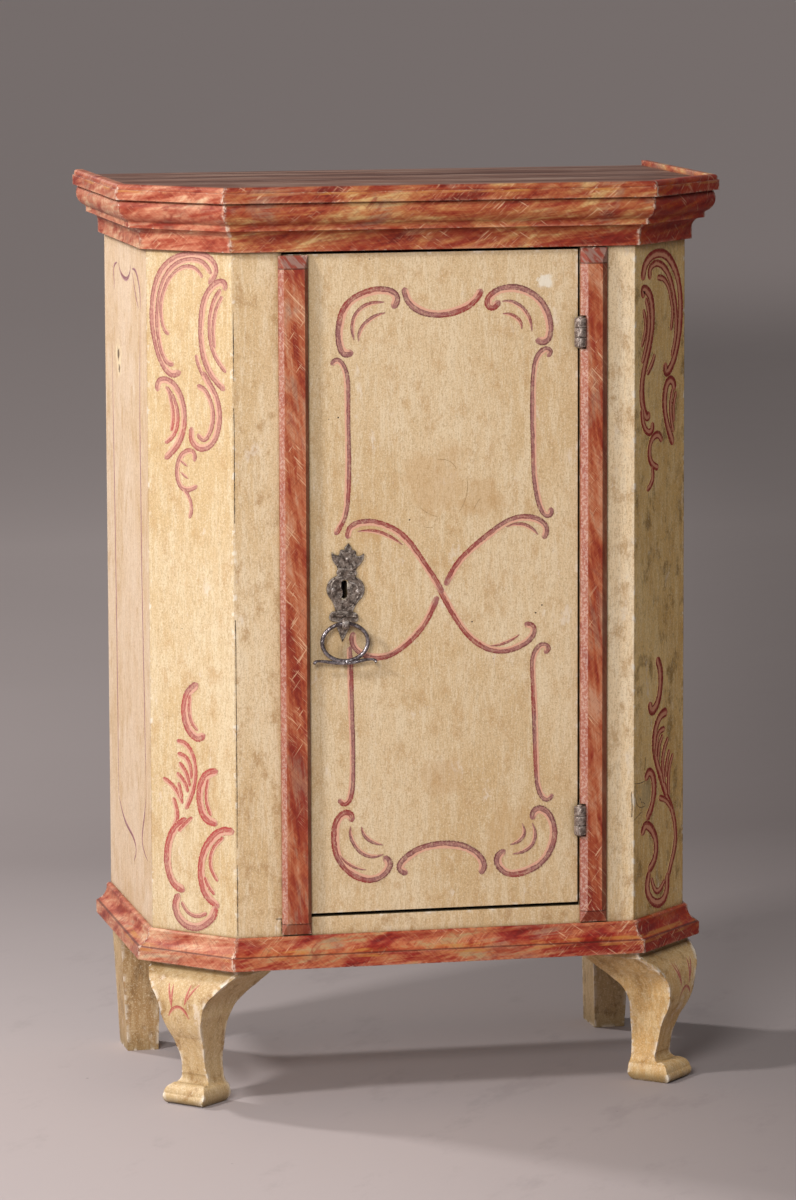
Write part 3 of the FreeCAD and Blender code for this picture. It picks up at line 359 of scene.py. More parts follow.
def cream_paint(name, ground, warm, pale, spots=(), stain=(192, 152, 102), brown=0.6, chips=0.5, bare=True):
    """Brown says how much of the stain shows, and bare leaves the inner face unpainted."""
    f = Finish(name)
    here = f.here()
    streak = f.grain((1, 1, 0.14), 150.0, 4.0, 0.7)
    fibre = f.grain((1, 1, 0.22), 560.0, 3.0, 0.75)
    patch = f.grain((1, 1, 0.5), 6.0, 5.0, 0.62, 0.5)
    mottle = f.grain((1, 1, 0.6), 52.0, 6.0, 0.72)
    speck = f.cloud(here, 560.0, 3.0, 0.75)
    f.tone = f.mix(f.between(patch, 0.42, 0.62), ground, warm)
    f.lay(f.between(streak, 0.46, 0.60) * 0.45, pale)
    f.lay(f.between(mottle, 0.50, 0.66) * brown, stain)
    f.lay(f.between(fibre, 0.48, 0.64) * 0.45, (178, 148, 106))
    f.lay(f.between(speck, 0.54, 0.64) * 0.40, (154, 116, 76))
    f.lay((1 - f.between(speck, 0.36, 0.46)) * 0.5, (236, 218, 186))
    scuff = f.grain((1, 1, 0.5), 30.0, 6.0, 0.75)
    f.lay(f.between(scuff, 0.59, 0.68) * 0.6, (230, 212, 190))
    hole = f.specks(here, 34.0, 0.035) * f.between(f.cloud(here, 9.0), 0.52, 0.58)
    f.lay(hole, (58, 38, 24))
    for spot, radius, shade, strength in spots:
        f.lay(f.near(spot, radius) * strength, shade)
    if bare:
        f.lay(f.inward(), pine_tone(f))
    # Grease and dust beside the strips and in the corners, together with painted shade there. The deepest
    # corners and gaps get near-black painted shade.
    grime_and_shade = f.nearness(0.035, False)
    f.lay(f.between(grime_and_shade, 0.09, 0.5) * 0.70, (132, 108, 66))
    f.lay(f.between(grime_and_shade, 0.70, 0.92), (40, 28, 20))
    edge = f.between(f.nearness(0.003 + 0.003 * chips, True), 0.14, 0.40)
    chipped = edge * f.between(f.cloud(here, 70.0, 5.0, 0.7), 0.62 - 0.16 * chips, 0.70 - 0.16 * chips)
    f.lay(chipped * 0.85, (238, 226, 208))
    rough = 0.46 + 0.22 * speck
    relief = streak * 0.5 + fibre * 0.35 + speck * 0.25 - hole * 1.6
    return f.done(rough, relief, 0.0005, 0.0012)


DOOR_SPOTS = (
    ((0.1288, -0.17, 0.936), 0.011, (232, 222, 204), 0.8),
    # Painted shade: a near-black spot that darkens the keyhole's bore.
    ((-0.105, -0.17, 0.591), 0.018, (34, 25, 20), 1.0),
    ((0.0017, -0.17, 0.715), 0.045, (190, 146, 92), 0.35),
    ((0.0550, -0.17, 0.690), 0.030, (186, 142, 88), 0.35),
    ((0.0043, -0.17, 0.374), 0.035, (186, 142, 90), 0.3),
    ((-0.080, -0.17, 0.660), 0.022, (192, 148, 92), 0.35),
    ((0.0900, -0.17, 0.300), 0.040, (192, 150, 98), 0.3),
)
SIDE_SPOTS = (
    ((-0.315, 0.111, 0.834), 0.026, (238, 214, 176), 0.7),
    ((-0.315, 0.113, 0.838), 0.009, (88, 62, 38), 0.9),
    ((-0.315, 0.108, 0.822), 0.006, (96, 70, 42), 0.9),
)
SLANT_SPOTS = (
    ((0.2512, -0.1507, 0.338), 0.020, (176, 154, 112), 0.6),
)
CREAM = cream_paint(
    "cream_paint", (222, 194, 154), (208, 175, 129), (234, 214, 182),
    stain=(176, 136, 88), brown=0.8)
# A lighter copy of the cream for the right stile: painted light.
LIT_STILE_CREAM = cream_paint(
    "lit_stile_cream_paint", (238, 210, 170), (228, 196, 150), (244, 226, 196),
    stain=(188, 148, 100), brown=0.75)
DOOR_CREAM = cream_paint(
    "door_cream_paint", (218, 190, 150), (206, 173, 127), (230, 209, 176), DOOR_SPOTS)
LEFT_CREAM = cream_paint(
    "left_cream_paint", (218, 193, 154), (208, 177, 130), (230, 212, 178))
RIGHT_CREAM = cream_paint(
    "right_cream_paint", (226, 188, 120), (204, 160, 88), (236, 208, 154), SLANT_SPOTS,
    (140, 106, 44), 0.9)
SIDE_CREAM = cream_paint(
    "side_cream_paint", (222, 193, 163), (212, 178, 140), (232, 210, 188), SIDE_SPOTS)
LEG_CREAM = cream_paint(
    "leg_cream_paint", (204, 171, 122), (184, 145, 92), (222, 198, 158), (),
    (156, 114, 60), 0.9, 0.95, False)
# A lighter copy of the leg cream for the right front leg: painted light.
LIT_RIGHT_LEG_CREAM = cream_paint(
    "lit_right_leg_cream_paint", (220, 182, 124), (204, 160, 98), (234, 208, 162), (),
    (164, 120, 58), 0.9, 0.95, False)
# A darker copy of the leg cream for the rear legs: painted shade.
SHADED_REAR_LEG_CREAM = cream_paint(
    "shaded_rear_leg_cream_paint", (196, 162, 114), (168, 130, 82), (210, 182, 140), (),
    (132, 98, 56), 0.95, 0.8, False)
print("nine cream paints")

# %% [markdown]
# The mouldings are marbled, which is a poor man's stone: over a red ground the painter
# dragged soft patches of salmon, ochre and buff on the slant with a dry brush, and at
# last drew a few quick pale veins. Here one noise chooses the patch, and a second one,
# drawn out thin, frays its edge like the hairs of the brush. Each facing of the case
# gets the pattern turned to its own run, so that it lies along every moulding.

# %% Marble the mouldings
# Heights in metres: ochre lines, the painted shade of a groove, and the blocks that end the strips, each
# edged by a painted shadow line
OCHRE_LINES = ((0.1708, 0.1742), (0.1766, 0.1796), (1.0400, 1.0428))
BASE_GROOVE_SHADE = (0.1746, 0.1760)
HEAD_BLOCK = 0.9560
FOOT_BLOCK = 0.2085
BLOCK_SHADOW_LINE = (60, 26, 18)


def marbled_paint(name, yaw, seed, stops, low_stops=None, greyed=0.55, upright=False):
    """Low stops are the tones of the base moulding, where they differ."""
    f = Finish(name)
    height = f.part(f.here(), "Z")
    run = f.stretched((1, 1, 1), (0, 90 if upright else 0, -yaw))
    moved = f.node("ShaderNodeMapping", None, {"Vector": run, "Location": (seed, seed * 0.37, 0.0)})

    def dragged(stretch, slant, scale, detail, rough=0.55, bent=0.0):
        return f.cloud(f.stretched(stretch, (0, slant, 0), moved), scale, detail, rough, bent)

    patch = dragged((0.55, 0.5, 2.2), 12, 20.0, 5.0, 0.6, 0.8)
    drag = dragged((0.16, 0.5, 2.0), 6, 95.0, 5.0, 0.68)
    feather = dragged((1, 0.3, 7.0), 38, 30.0, 5.0, 0.66, 0.2)
    back_feather = dragged((1, 0.3, 7.0), -40, 34.0, 5.0, 0.66, 0.2)
    mixed = patch + (drag - 0.5) * 0.45 + (feather - 0.5) * 0.22 + (back_feather - 0.5) * 0.16
    f.tone = f.ramp(mixed, stops)
    if low_stops:
        f.tone = f.mix(f.between(height, 0.3, 0.8), f.ramp(mixed, low_stops), f.tone)
    grey = f.between(f.cloud(moved, 12.0, 4.0, 0.6, 0.8), 0.52, 0.64) * f.between(drag, 0.42, 0.58)
    f.lay(grey * greyed, (150, 122, 102))
    deep = f.between(dragged((0.6, 1, 1.6), 20, 26.0, 5.0, 0.65, 1.0), 0.55, 0.66)
    f.lay(deep * 0.65, (138, 40, 26))
    hatch = dragged((1, 0.3, 12.0), 46, 70.0, 3.0, 0.6)
    back_hatch = dragged((1, 0.3, 12.0), -40, 64.0, 3.0, 0.6)
    f.lay((1 - f.between(hatch.least(back_hatch), 0.34, 0.44)) * 0.4, (112, 44, 28))
    zone = f.between(f.cloud(moved, 15.0, 3.0), 0.47, 0.59)
    hatched = f.between(hatch, 0.56, 0.68) * zone * 0.45
    back_hatched = f.between(back_hatch, 0.58, 0.70) * (1 - zone) * 0.25
    f.lay(hatched + back_hatched, (212, 164, 126))
    vein = f.between(dragged((1, 0.3, 15.0), 42, 36.0, 1.0), 0.66, 0.70)
    back_vein = f.between(dragged((1, 0.3, 15.0), -34, 33.0, 1.0), 0.67, 0.71)
    f.lay(vein.most(back_vein) * zone * 0.6, (226, 184, 146))
    broken = f.between(drag, 0.38, 0.54)
    for low, high in OCHRE_LINES:
        f.lay(f.band(height, low, high) * broken * zone * 0.7, (186, 124, 56))
    # Painted shade: a dark line in the groove of the base moulding.
    f.lay(f.band(height, *BASE_GROOVE_SHADE, 0.0004) * 0.75, (72, 28, 18))
    if upright:
        # Painted light and shade on the strips: the bevel facing left is painted paler, the faces towards the
        # right darker, and the right side faces near-black.
        left = f.facing((-1, 0, 0))
        bevel = f.between(left, 0.2, 0.5) * (1 - f.between(left, 0.9, 0.97))
        speckled = f.between(f.cloud(moved, 330.0, 3.0, 0.7), 0.46, 0.58)
        f.lay(bevel * 0.7, f.mix(speckled * 0.6, (158, 102, 88), (210, 184, 172)))
        f.lay(f.between(f.facing((1, 0, 0)), 0.2, 0.5) * 0.5, (92, 36, 24))
        f.lay(f.between(f.facing((1, 0, 0)), 0.9, 0.97) * 0.8, (44, 17, 12))
        block = f.mix(f.between(feather, 0.45, 0.55), (144, 108, 96), (138, 60, 44))
        f.lay(f.between(height, HEAD_BLOCK, HEAD_BLOCK + 0.001), block)
        # Painted shadow lines under the head block and over the foot block.
        f.lay(f.band(height, HEAD_BLOCK - 0.0008, HEAD_BLOCK + 0.0006) * 0.8, BLOCK_SHADOW_LINE)
        f.lay((1 - f.between(height, FOOT_BLOCK, FOOT_BLOCK + 0.001)) * 0.45, (136, 66, 50))
        f.lay(f.band(height, FOOT_BLOCK + 0.0009, FOOT_BLOCK + 0.0021) * 0.8, BLOCK_SHADOW_LINE)
    # Dirt with painted shade in the hollows between the mouldings, and near-black painted shade in the tight
    # corners.
    grime_and_shade = f.between(f.nearness(0.012, False), 0.2, 0.85) * 0.6
    corner = f.between(f.nearness(0.004, False), 0.36, 0.70) * 0.8
    f.lay(grime_and_shade.most(corner), (64, 22, 13))
    edge = f.nearness(0.004, True)
    rubbed = f.between(edge, 0.12, 0.42) * f.between(f.cloud(moved, 60.0, 5.0, 0.7), 0.44, 0.60)
    f.lay(rubbed * 0.6, (210, 146, 116))
    bent = f.vectors("SUBTRACT", f.rounded(0.007), f.node("ShaderNodeNewGeometry", output="Normal"))
    along = (0, 0, 1) if upright else (math.cos(math.radians(yaw)), math.sin(math.radians(yaw)), 0)
    mitre = f.vectors("DOT_PRODUCT", bent, along, "Value")
    worn = f.between(edge, 0.2, 0.45) * 0.07 + f.between(mitre.size(), 0.08, 0.45) * 0.085
    flaked = f.cloud(moved, 150.0, 5.0, 0.7)
    chip = f.between(flaked + worn, 0.64, 0.68) * f.between(worn, 0.02, 0.05)
    gap = f.between(mitre.size(), 0.25, 0.5) * f.between(f.cloud(moved, 90.0, 4.0, 0.7), 0.50, 0.58)
    f.lay(gap * 0.5, (70, 30, 20))
    f.lay(chip * 0.8, (226, 200, 180))
    rough = 0.36 + 0.22 * feather
    relief = drag * 0.5 + f.cloud(moved, 240.0, 3.0) * 0.4 - chip * 0.5
    return f.done(rough, relief, 0.0005, 0.0012, **{"Specular IOR Level": 0.35})


CORNICE_STOPS = (
    (0.33, (108, 24, 12)),
    (0.42, (144, 50, 26)),
    (0.50, (164, 84, 48)),
    (0.57, (180, 112, 66)),
    (0.66, (204, 162, 106)),
)
BASE_STOPS = (
    (0.34, (112, 16, 10)),
    (0.43, (146, 38, 24)),
    (0.50, (162, 74, 46)),
    (0.57, (184, 104, 66)),
    (0.66, (176, 138, 96)),
)
LEFT_STOPS = (
    (0.33, (132, 42, 26)),
    (0.42, (162, 74, 50)),
    (0.50, (184, 108, 80)),
    (0.58, (198, 134, 102)),
    (0.66, (214, 174, 138)),
)
SHADED_STOPS = (
    (0.32, (124, 10, 0)),
    (0.42, (148, 24, 0)),
    (0.50, (164, 42, 4)),
    (0.58, (176, 70, 12)),
    (0.68, (184, 104, 34)),
)
STRIP_STOPS = (
    (0.32, (128, 38, 22)),
    (0.42, (152, 64, 36)),
    (0.50, (170, 90, 56)),
    (0.58, (182, 112, 78)),
    (0.68, (192, 138, 108)),
)
MARBLE = {
    "front": marbled_paint("marbled_front", 0.0, 0.0, CORNICE_STOPS, BASE_STOPS),
    "right_slant": marbled_paint("marbled_right_slant", 46.7, 1.3, SHADED_STOPS, None, 0.15),
    "left_slant": marbled_paint("marbled_left_slant", -46.7, 2.6, LEFT_STOPS),
    "right_side": marbled_paint("marbled_right_side", 90.0, 3.9, CORNICE_STOPS, BASE_STOPS),
    "left_side": marbled_paint("marbled_left_side", -90.0, 5.2, LEFT_STOPS),
    "strip": marbled_paint("marbled_strip", 0.0, 7.1, STRIP_STOPS, None, 0.45, True),
}
print("marbled on", len(MARBLE), "facings")

# %% [markdown]
# The top was painted dark and has been dusted and leaned on ever since, so it is
# smooth and a little glossy, with grey streaks along the board. Long streaks come from
# a noise that is stretched along the width of the cupboard.

# %% Paint the dark top
def top_paint():
    f = Finish("dark_top")
    streak = f.grain((0.05, 1, 1), 34.0, 5.0, 0.6, 0.2)
    thin = f.grain((0.05, 1, 1), 150.0, 4.0, 0.6)
    f.tone = f.mix(f.between(streak, 0.40, 0.60), (86, 46, 32), (134, 96, 80))
    f.lay(f.between(thin, 0.51, 0.64) * 0.75, (172, 142, 126))
    f.lay(f.between(f.cloud(f.here(), 6.0, 3.0), 0.5, 0.68) * 0.5, (92, 50, 36))
    scratch = f.between(f.grain((1, 22, 1), 14.0, 2.0, 0.5, lean=(0, 0, 12)), 0.67, 0.71)
    f.lay(scratch * 0.4, (168, 150, 144))
    return f.done(0.44 + 0.16 * streak, streak - scratch * 0.4, 0.0004, 0.0015, **{"Specular IOR Level": 0.2})


DARK_TOP = top_paint()

# %% [markdown]
# Inside and behind, the pine was never painted. It has gone brown, with darker year
# rings along each board, and dust with painted shade in the corners and seams. The
# boards run three ways, so the recipe is given the lean of the grain.

# %% Age the bare pine
def bare_pine(name, lean):
    f = Finish(name)
    f.tone = pine_tone(f, lean)
    knot = f.specks(f.stretched((1, 1, 0.6), lean), 4.2, 0.06)
    f.lay(knot * 0.85, (82, 48, 27))
    # Dark seams with painted shade in the tight creases, then dust and painted shade in the corners.
    seam_and_shade = f.between(f.nearness(0.004, False), 0.36, 0.70)
    f.lay(seam_and_shade * 0.8, (44, 29, 18))
    grime_and_shade = f.nearness(0.05, False)
    f.lay(f.between(grime_and_shade, 0.2, 1.0) * 0.5, (70, 48, 30))
    grain = f.grain((1, 1, 0.05), 400.0, 4.0, 0.7, lean=lean)
    return f.done(0.68 + 0.1 * grain, grain * 0.8, 0.0005, 0.001)


PINE_UP = bare_pine("bare_pine_upright", (0, 0, 0))
PINE_ACROSS = bare_pine("bare_pine_across", (0, 90, 0))
PINE_BACK = bare_pine("bare_pine_backwards", (90, 0, 0))

# %% [markdown]
# The ironwork was hammered hot and filed, and hands have rubbed what they touch. The
# plate and the hinges stayed grey-brown, and the ring is nearly bright. Worn edges are
# lighter, and the corners hold old dirt with painted shade, which the nearness brush
# finds. The plate's side faces get painted shade as well.

# %% Forge the iron finishes
def forged_iron(name, ground, rusty, bright, rough, metal, rim_shade=0.0):
    f = Finish(name)
    here = f.here()
    hammered = f.cloud(here, 240.0, 3.0, 0.5)
    rust = f.cloud(here, 170.0, 5.0, 0.7)
    f.tone = f.mix(f.between(rust, 0.44, 0.56), ground, rusty)
    f.lay(f.between(f.cloud(here, 310.0, 3.0, 0.6), 0.56, 0.66) * 0.5, bright)
    edge = f.between(f.nearness(0.0018, True), 0.15, 0.45) * f.between(f.cloud(here, 190.0, 3.0), 0.42, 0.58)
    f.lay(edge * 0.7, bright)
    # Painted shade: the side faces are darkened.
    rim = 1 - f.between(f.facing((0, 1, 0)).size(), 0.2, 0.5)
    f.lay(rim * rim_shade, (34, 26, 22))
    # Old dirt and painted shade in the corners.
    grime_and_shade = f.nearness(0.004, False)
    f.lay(f.between(grime_and_shade, 0.3, 0.85) * 0.8, (30, 23, 20))
    return f.done(rough + 0.25 * rust, hammered + rust * 0.5, 0.0009, 0.0006, Metallic=metal)


PLATE_IRON = forged_iron(
    "plate_iron", (122, 106, 95), (70, 57, 49), (204, 190, 178), 0.34, 0.5, rim_shade=0.75)
RING_IRON = forged_iron(
    "ring_iron", (146, 136, 138), (86, 75, 75), (230, 224, 226), 0.20, 0.85)
# A lighter copy of the iron for the rivets, key guard and eye: rubbed iron, partly a painted highlight.
HIGHLIGHTED_RIVET_IRON = forged_iron(
    "highlighted_rivet_iron", (168, 155, 146), (104, 90, 82), (236, 228, 222), 0.24, 0.5)
HINGE_IRON = forged_iron(
    "hinge_iron", (158, 142, 132), (112, 96, 88), (222, 208, 196), 0.32, 0.45)
print("four irons")

# %% [markdown]
# Each node of the frame is one real piece, so its name tells which finish it wears. The
# first word of the list that is found in the name decides. A moulding wears the marbling
# of the way it faces, which is the end of its name.

# %% Give the CAD nodes their finishes
MOULDINGS = ("cornice_", "base_", "top_edge_")
FINISH_BY_WORD = (
    ("strip", MARBLE["strip"]),
    ("top_board", DARK_TOP),
    ("left_slanted", LEFT_CREAM),
    ("right_slanted", RIGHT_CREAM),
    ("side_board", SIDE_CREAM),
    ("door_panel", DOOR_CREAM),
    ("right_stile", LIT_STILE_CREAM),
    ("stile", CREAM),
    ("bottom_rail", CREAM),
    ("front_left_leg", LEG_CREAM),
    ("front_right_leg", LIT_RIGHT_LEG_CREAM),
    ("leg", SHADED_REAR_LEG_CREAM),
    ("escutcheon", PLATE_IRON),
    ("handle", PLATE_IRON),
    ("lock_", HINGE_IRON),
    ("bolt", HINGE_IRON),
    ("hinge", HINGE_IRON),
    ("back_board", PINE_UP),
    ("block", PINE_UP),
    ("cleat", PINE_BACK),
    ("", PINE_ACROSS),
)


def wear(piece, finish):
    piece.data.materials.clear()
    piece.data.materials.append(finish)


for name, node in nodes.items():
    moulding = next((start for start in MOULDINGS if name.startswith(start)), None)
    if moulding:
        wear(node, MARBLE[name.removeprefix(moulding)])
    else:
        wear(node, next(finish for word, finish in FINISH_BY_WORD if word in name))
print("finishes on", len(nodes), "nodes")

# %% [markdown]
# The scrolls are single strokes of a loaded brush, painted freehand: each has a dark
# outer edge, a mauve body and a pale pink inner edge, and ends in a round blot where
# the brush was set down. They could be drawn in the shader, but a curve is how the hand
# moved. So every stroke is a NURBS curve with few points, given a flat width, and is
# made a thin skin of paint that lies on its board.

# %% List how each kind of stroke is laid
STROKE_WIDTHS = {
    "wide": 12.6,
    "broad": 10.2,
    "swept_in": 8.6,
    "swept_out": 8.6,
    "band": 8.0,
    "upright": 7.6,
    "brush": 6.6,
    "slim": 5.2,
    "line": 5.5,
    "crack": 1.0,
    "hair_crack": 0.7,
}
POINTED_KINDS = ("slim", "line", "crack", "hair_crack")
PAINT_LIFT = 0.12
PAINT_STEP = 0.008
PAINT_SKIN = 0.25
STROKE_FINENESS = 3


def stroke_points(kind, points, count):
    """The places of one stroke, in millimetres, each with its share of the full width."""
    path = [Vector(place) for place in points]
    width = STROKE_WIDTHS[kind]
    if kind.endswith("crack"):
        return [(place, 0.35 + 0.75 * abs(math.sin(2.3 * step + count))) for step, place in enumerate(path)]
    if kind in POINTED_KINDS:
        middle = [(place, 1.0) for place in path[1:-1]]
        return [(path[0], 0.2)] + middle + [(path[-1], 0.2)]
    first = (path[0] - path[1]).normalized() * width
    last = (path[-1] - path[-2]).normalized() * width
    body = [(place, 0.92 + 0.08 * math.sin(1.7 * step + count)) for step, place in enumerate(path)]
    head = [(path[0] + first * 0.52, 0.1), (path[0] + first * 0.36, 0.8)]
    tail = [(path[-1] + last * 0.36, 0.8), (path[-1] + last * 0.52, 0.1)]
    if kind == "swept_in":
        head = [(path[0] + first * 0.1, 0.45)]
    if kind == "swept_out":
        tail = [(path[-1] + last * 0.1, 0.45)]
    return head + body + tail


def pick(*pieces):
    """Selects these objects only, and makes the first one active."""
    bpy.ops.object.select_all(action="DESELECT")
    for piece in pieces:
        piece.select_set(True)
    bpy.context.view_layer.objects.active = pieces[0]


def settle(piece):
    """Puts a piece's turn and place into its mesh."""
    pick(piece)
    bpy.ops.object.transform_apply(location=True, rotation=True, scale=True)


def new_curve(name):
    curve = bpy.data.curves.new(name, "CURVE")
    curve.dimensions = "3D"
    return curve


def add_line(curve, places, fineness, closed=False, tilt=0):
    """A NURBS line past some places (x, y, z, radius), with x, y and z in millimetres."""
    line = curve.splines.new("NURBS")
    line.points.add(len(places) - 1)
    for point, (x, y, z, radius) in zip(line.points, places):
        point.co = (x / 1000, y / 1000, z / 1000, 1)
        point.radius = radius
        point.tilt = math.radians(tilt)
    line.order_u = 4
    line.use_cyclic_u = closed
    line.use_endpoint_u = not closed
    line.resolution_u = fineness


def as_mesh(name, curve):
    """The mesh of a curve, as a new object."""
    piece = bpy.data.objects.new(name, curve)
    bpy.context.scene.collection.objects.link(piece)
    pick(piece)
    bpy.ops.object.convert(target="MESH")
    return bpy.context.object


def sheet(x, y, z, yaw, off=0.0):
    """A flat sheet that stands on a board's lower left corner, in metres."""
    corner = Matrix.Translation((x, y, z)) @ turn(yaw, "Z") @ turn(90, "X")
    return corner @ Matrix.Translation((0, 0, off))


def paint_strokes(name, body, strokes, place, finish, mirrored=False, onto=None, fullness=1.0):
    """Lays strokes on a board. Place takes the flat sheet to the board, in metres."""
    curve = new_curve(name)
    curve.twist_mode = "Z_UP"
    curve.extrude = 0.5
    curve.use_fill_caps = False
    hand = -1 if mirrored else 1
    for count, (kind, points) in enumerate(strokes):
        out = PAINT_LIFT + count * PAINT_STEP
        width = STROKE_WIDTHS[kind] * fullness
        add_line(curve, [
            (hand * spot.x, spot.y, out, width * share / 1000)
            for spot, share in stroke_points(kind, points, count)], STROKE_FINENESS, tilt=90)
    piece = as_mesh(name, curve)
    piece.matrix_world = place
    bpy.context.view_layer.update()
    if onto is not None:
        bpy.ops.object.modifier_add(type="SHRINKWRAP")
        wrap = piece.modifiers[-1]
        wrap.wrap_method = "PROJECT"
        wrap.use_project_z = True
        wrap.use_negative_direction = True
        wrap.use_positive_direction = False
        wrap.target = onto
        wrap.offset = PAINT_LIFT / 1000
        bpy.ops.object.modifier_apply(modifier=wrap.name)
    bpy.ops.object.modifier_add(type="SOLIDIFY")
    skin = piece.modifiers[-1]
    skin.thickness = PAINT_SKIN / 1000
    skin.offset = -1.0
    bpy.ops.object.modifier_apply(modifier=skin.name)
    settle(piece)
    bpy.ops.object.shade_flat()
    wear(piece, finish)
    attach(piece, body)
    print(name, len(strokes), "strokes,", len(piece.data.polygons), "faces")


# %% [markdown]
# The colour across a stroke follows the stroke, so this finish reads the curve's own
# map: one number runs along the stroke and the other from its outer to its inner edge.
# Where the paint has rubbed off, the cream shows through.

# %% Mix the scroll paints
def scroll_paint(name, outline, middle, inner, redder, cream, zones=(0.20, 0.62, 1.2), heart=(0, 0, 9)):
    """Zones: where the dark outline ends, where the pale edge starts, where a last line starts."""
    f = Finish(name)
    here = f.here()
    drawn = f.node("ShaderNodeUVMap", {"uv_map": "UVMap"})
    along = f.part(drawn, "X")
    across = f.part(drawn, "Y")
    wobble = f.cloud(here, 140.0, 3.0, 0.6)
    side = across + (wobble - 0.5) * 0.35
    grain = f.cloud(here, 430.0, 4.0, 0.75)
    red = f.between(f.cloud(here, 11.0, 2.0), 0.50, 0.62).most(f.near(heart, 0.14))
    dark = f.mix(red * 0.85, outline, redder)
    f.tone = f.mix(red * 0.55, middle, redder)
    f.lay(f.between(grain, 0.50, 0.58) * 0.75, dark)
    bristle = f.grain((9, 6, 1), 1.0, 3.0, 0.6, start=drawn)
    f.lay(f.between(bristle, 0.48, 0.60) * 0.4, inner)
    f.lay(1 - f.between(side, zones[0] - 0.08, zones[0] + 0.04), dark)
    f.lay(f.between(side, zones[1], zones[1] + 0.1), inner)
    f.lay((1 - f.between((side - zones[1]).size(), 0.02, 0.08)) * 0.5, dark)
    f.lay(f.between(side, zones[2], zones[2] + 0.08), dark)
    blot = (1 - f.between(along, 0.03, 0.08)).most(f.between(along, 0.92, 0.97))
    f.lay(blot * 0.75, f.mix(f.between(grain, 0.48, 0.60) * 0.6, middle, dark))
    rubbed = f.grain((1, 1, 0.5), 520.0, 4.0, 0.75)
    f.lay(f.between(rubbed, 0.53, 0.63) * 0.4, cream)
    edge = across.least(1 - across)
    ragged = f.cloud(here, 500.0, 3.0, 0.6)
    inside = f.between(edge + (ragged - 0.5) * 0.24, 0.0, 0.05)
    f.tone = f.mix(inside, cream, f.tone)
    return f.done(0.5 + 0.2 * wobble)


def crack_paint(name, shade, strength):
    """A dark gap in the paint, broken here and there."""
    f = Finish(name)
    ragged = f.cloud(f.here(), 300.0, 3.0, 0.6)
    f.tone = f.mix(f.between(ragged, 0.45, 0.62) * strength, shade, (196, 164, 120))
    return f.done(0.8)


DOOR_SCROLL = scroll_paint(
    "door_scroll_paint", (110, 56, 52), (156, 104, 98), (218, 162, 136),
    (144, 34, 24), (220, 192, 154), heart=(0.0035, -0.17, 0.59))
LEFT_SCROLL = scroll_paint(
    "left_scroll_paint", (146, 82, 76), (180, 124, 112), (212, 160, 138),
    (176, 58, 54), (222, 196, 154), (0.22, 0.60, 0.94), (-0.275, -0.126, 0.355))
RIGHT_SCROLL = scroll_paint(
    "right_scroll_paint", (130, 10, 4), (190, 98, 78), (206, 138, 108),
    (142, 8, 4), (206, 174, 118), (0.32, 0.36, 0.74))
SIDE_SCROLL = scroll_paint(
    "side_scroll_paint", (112, 58, 76), (140, 88, 98), (180, 134, 134),
    (130, 66, 76), (224, 194, 166))
LEG_SCROLL = scroll_paint(
    "leg_scroll_paint", (160, 62, 52), (184, 98, 84), (202, 134, 112),
    (158, 50, 40), (206, 176, 132))
DARK_CRACK = crack_paint("dark_crack", (44, 30, 20), 0.5)
SOFT_CRACK = crack_paint("soft_crack", (164, 130, 86), 0.9)

# %% [markdown]
# The points below were chosen on the photograph and rounded to whole
# millimetres. On the door they count from its lower left corner, on a slanted board from
# its lower left edge and the underside of the case, and on the side from its front edge.

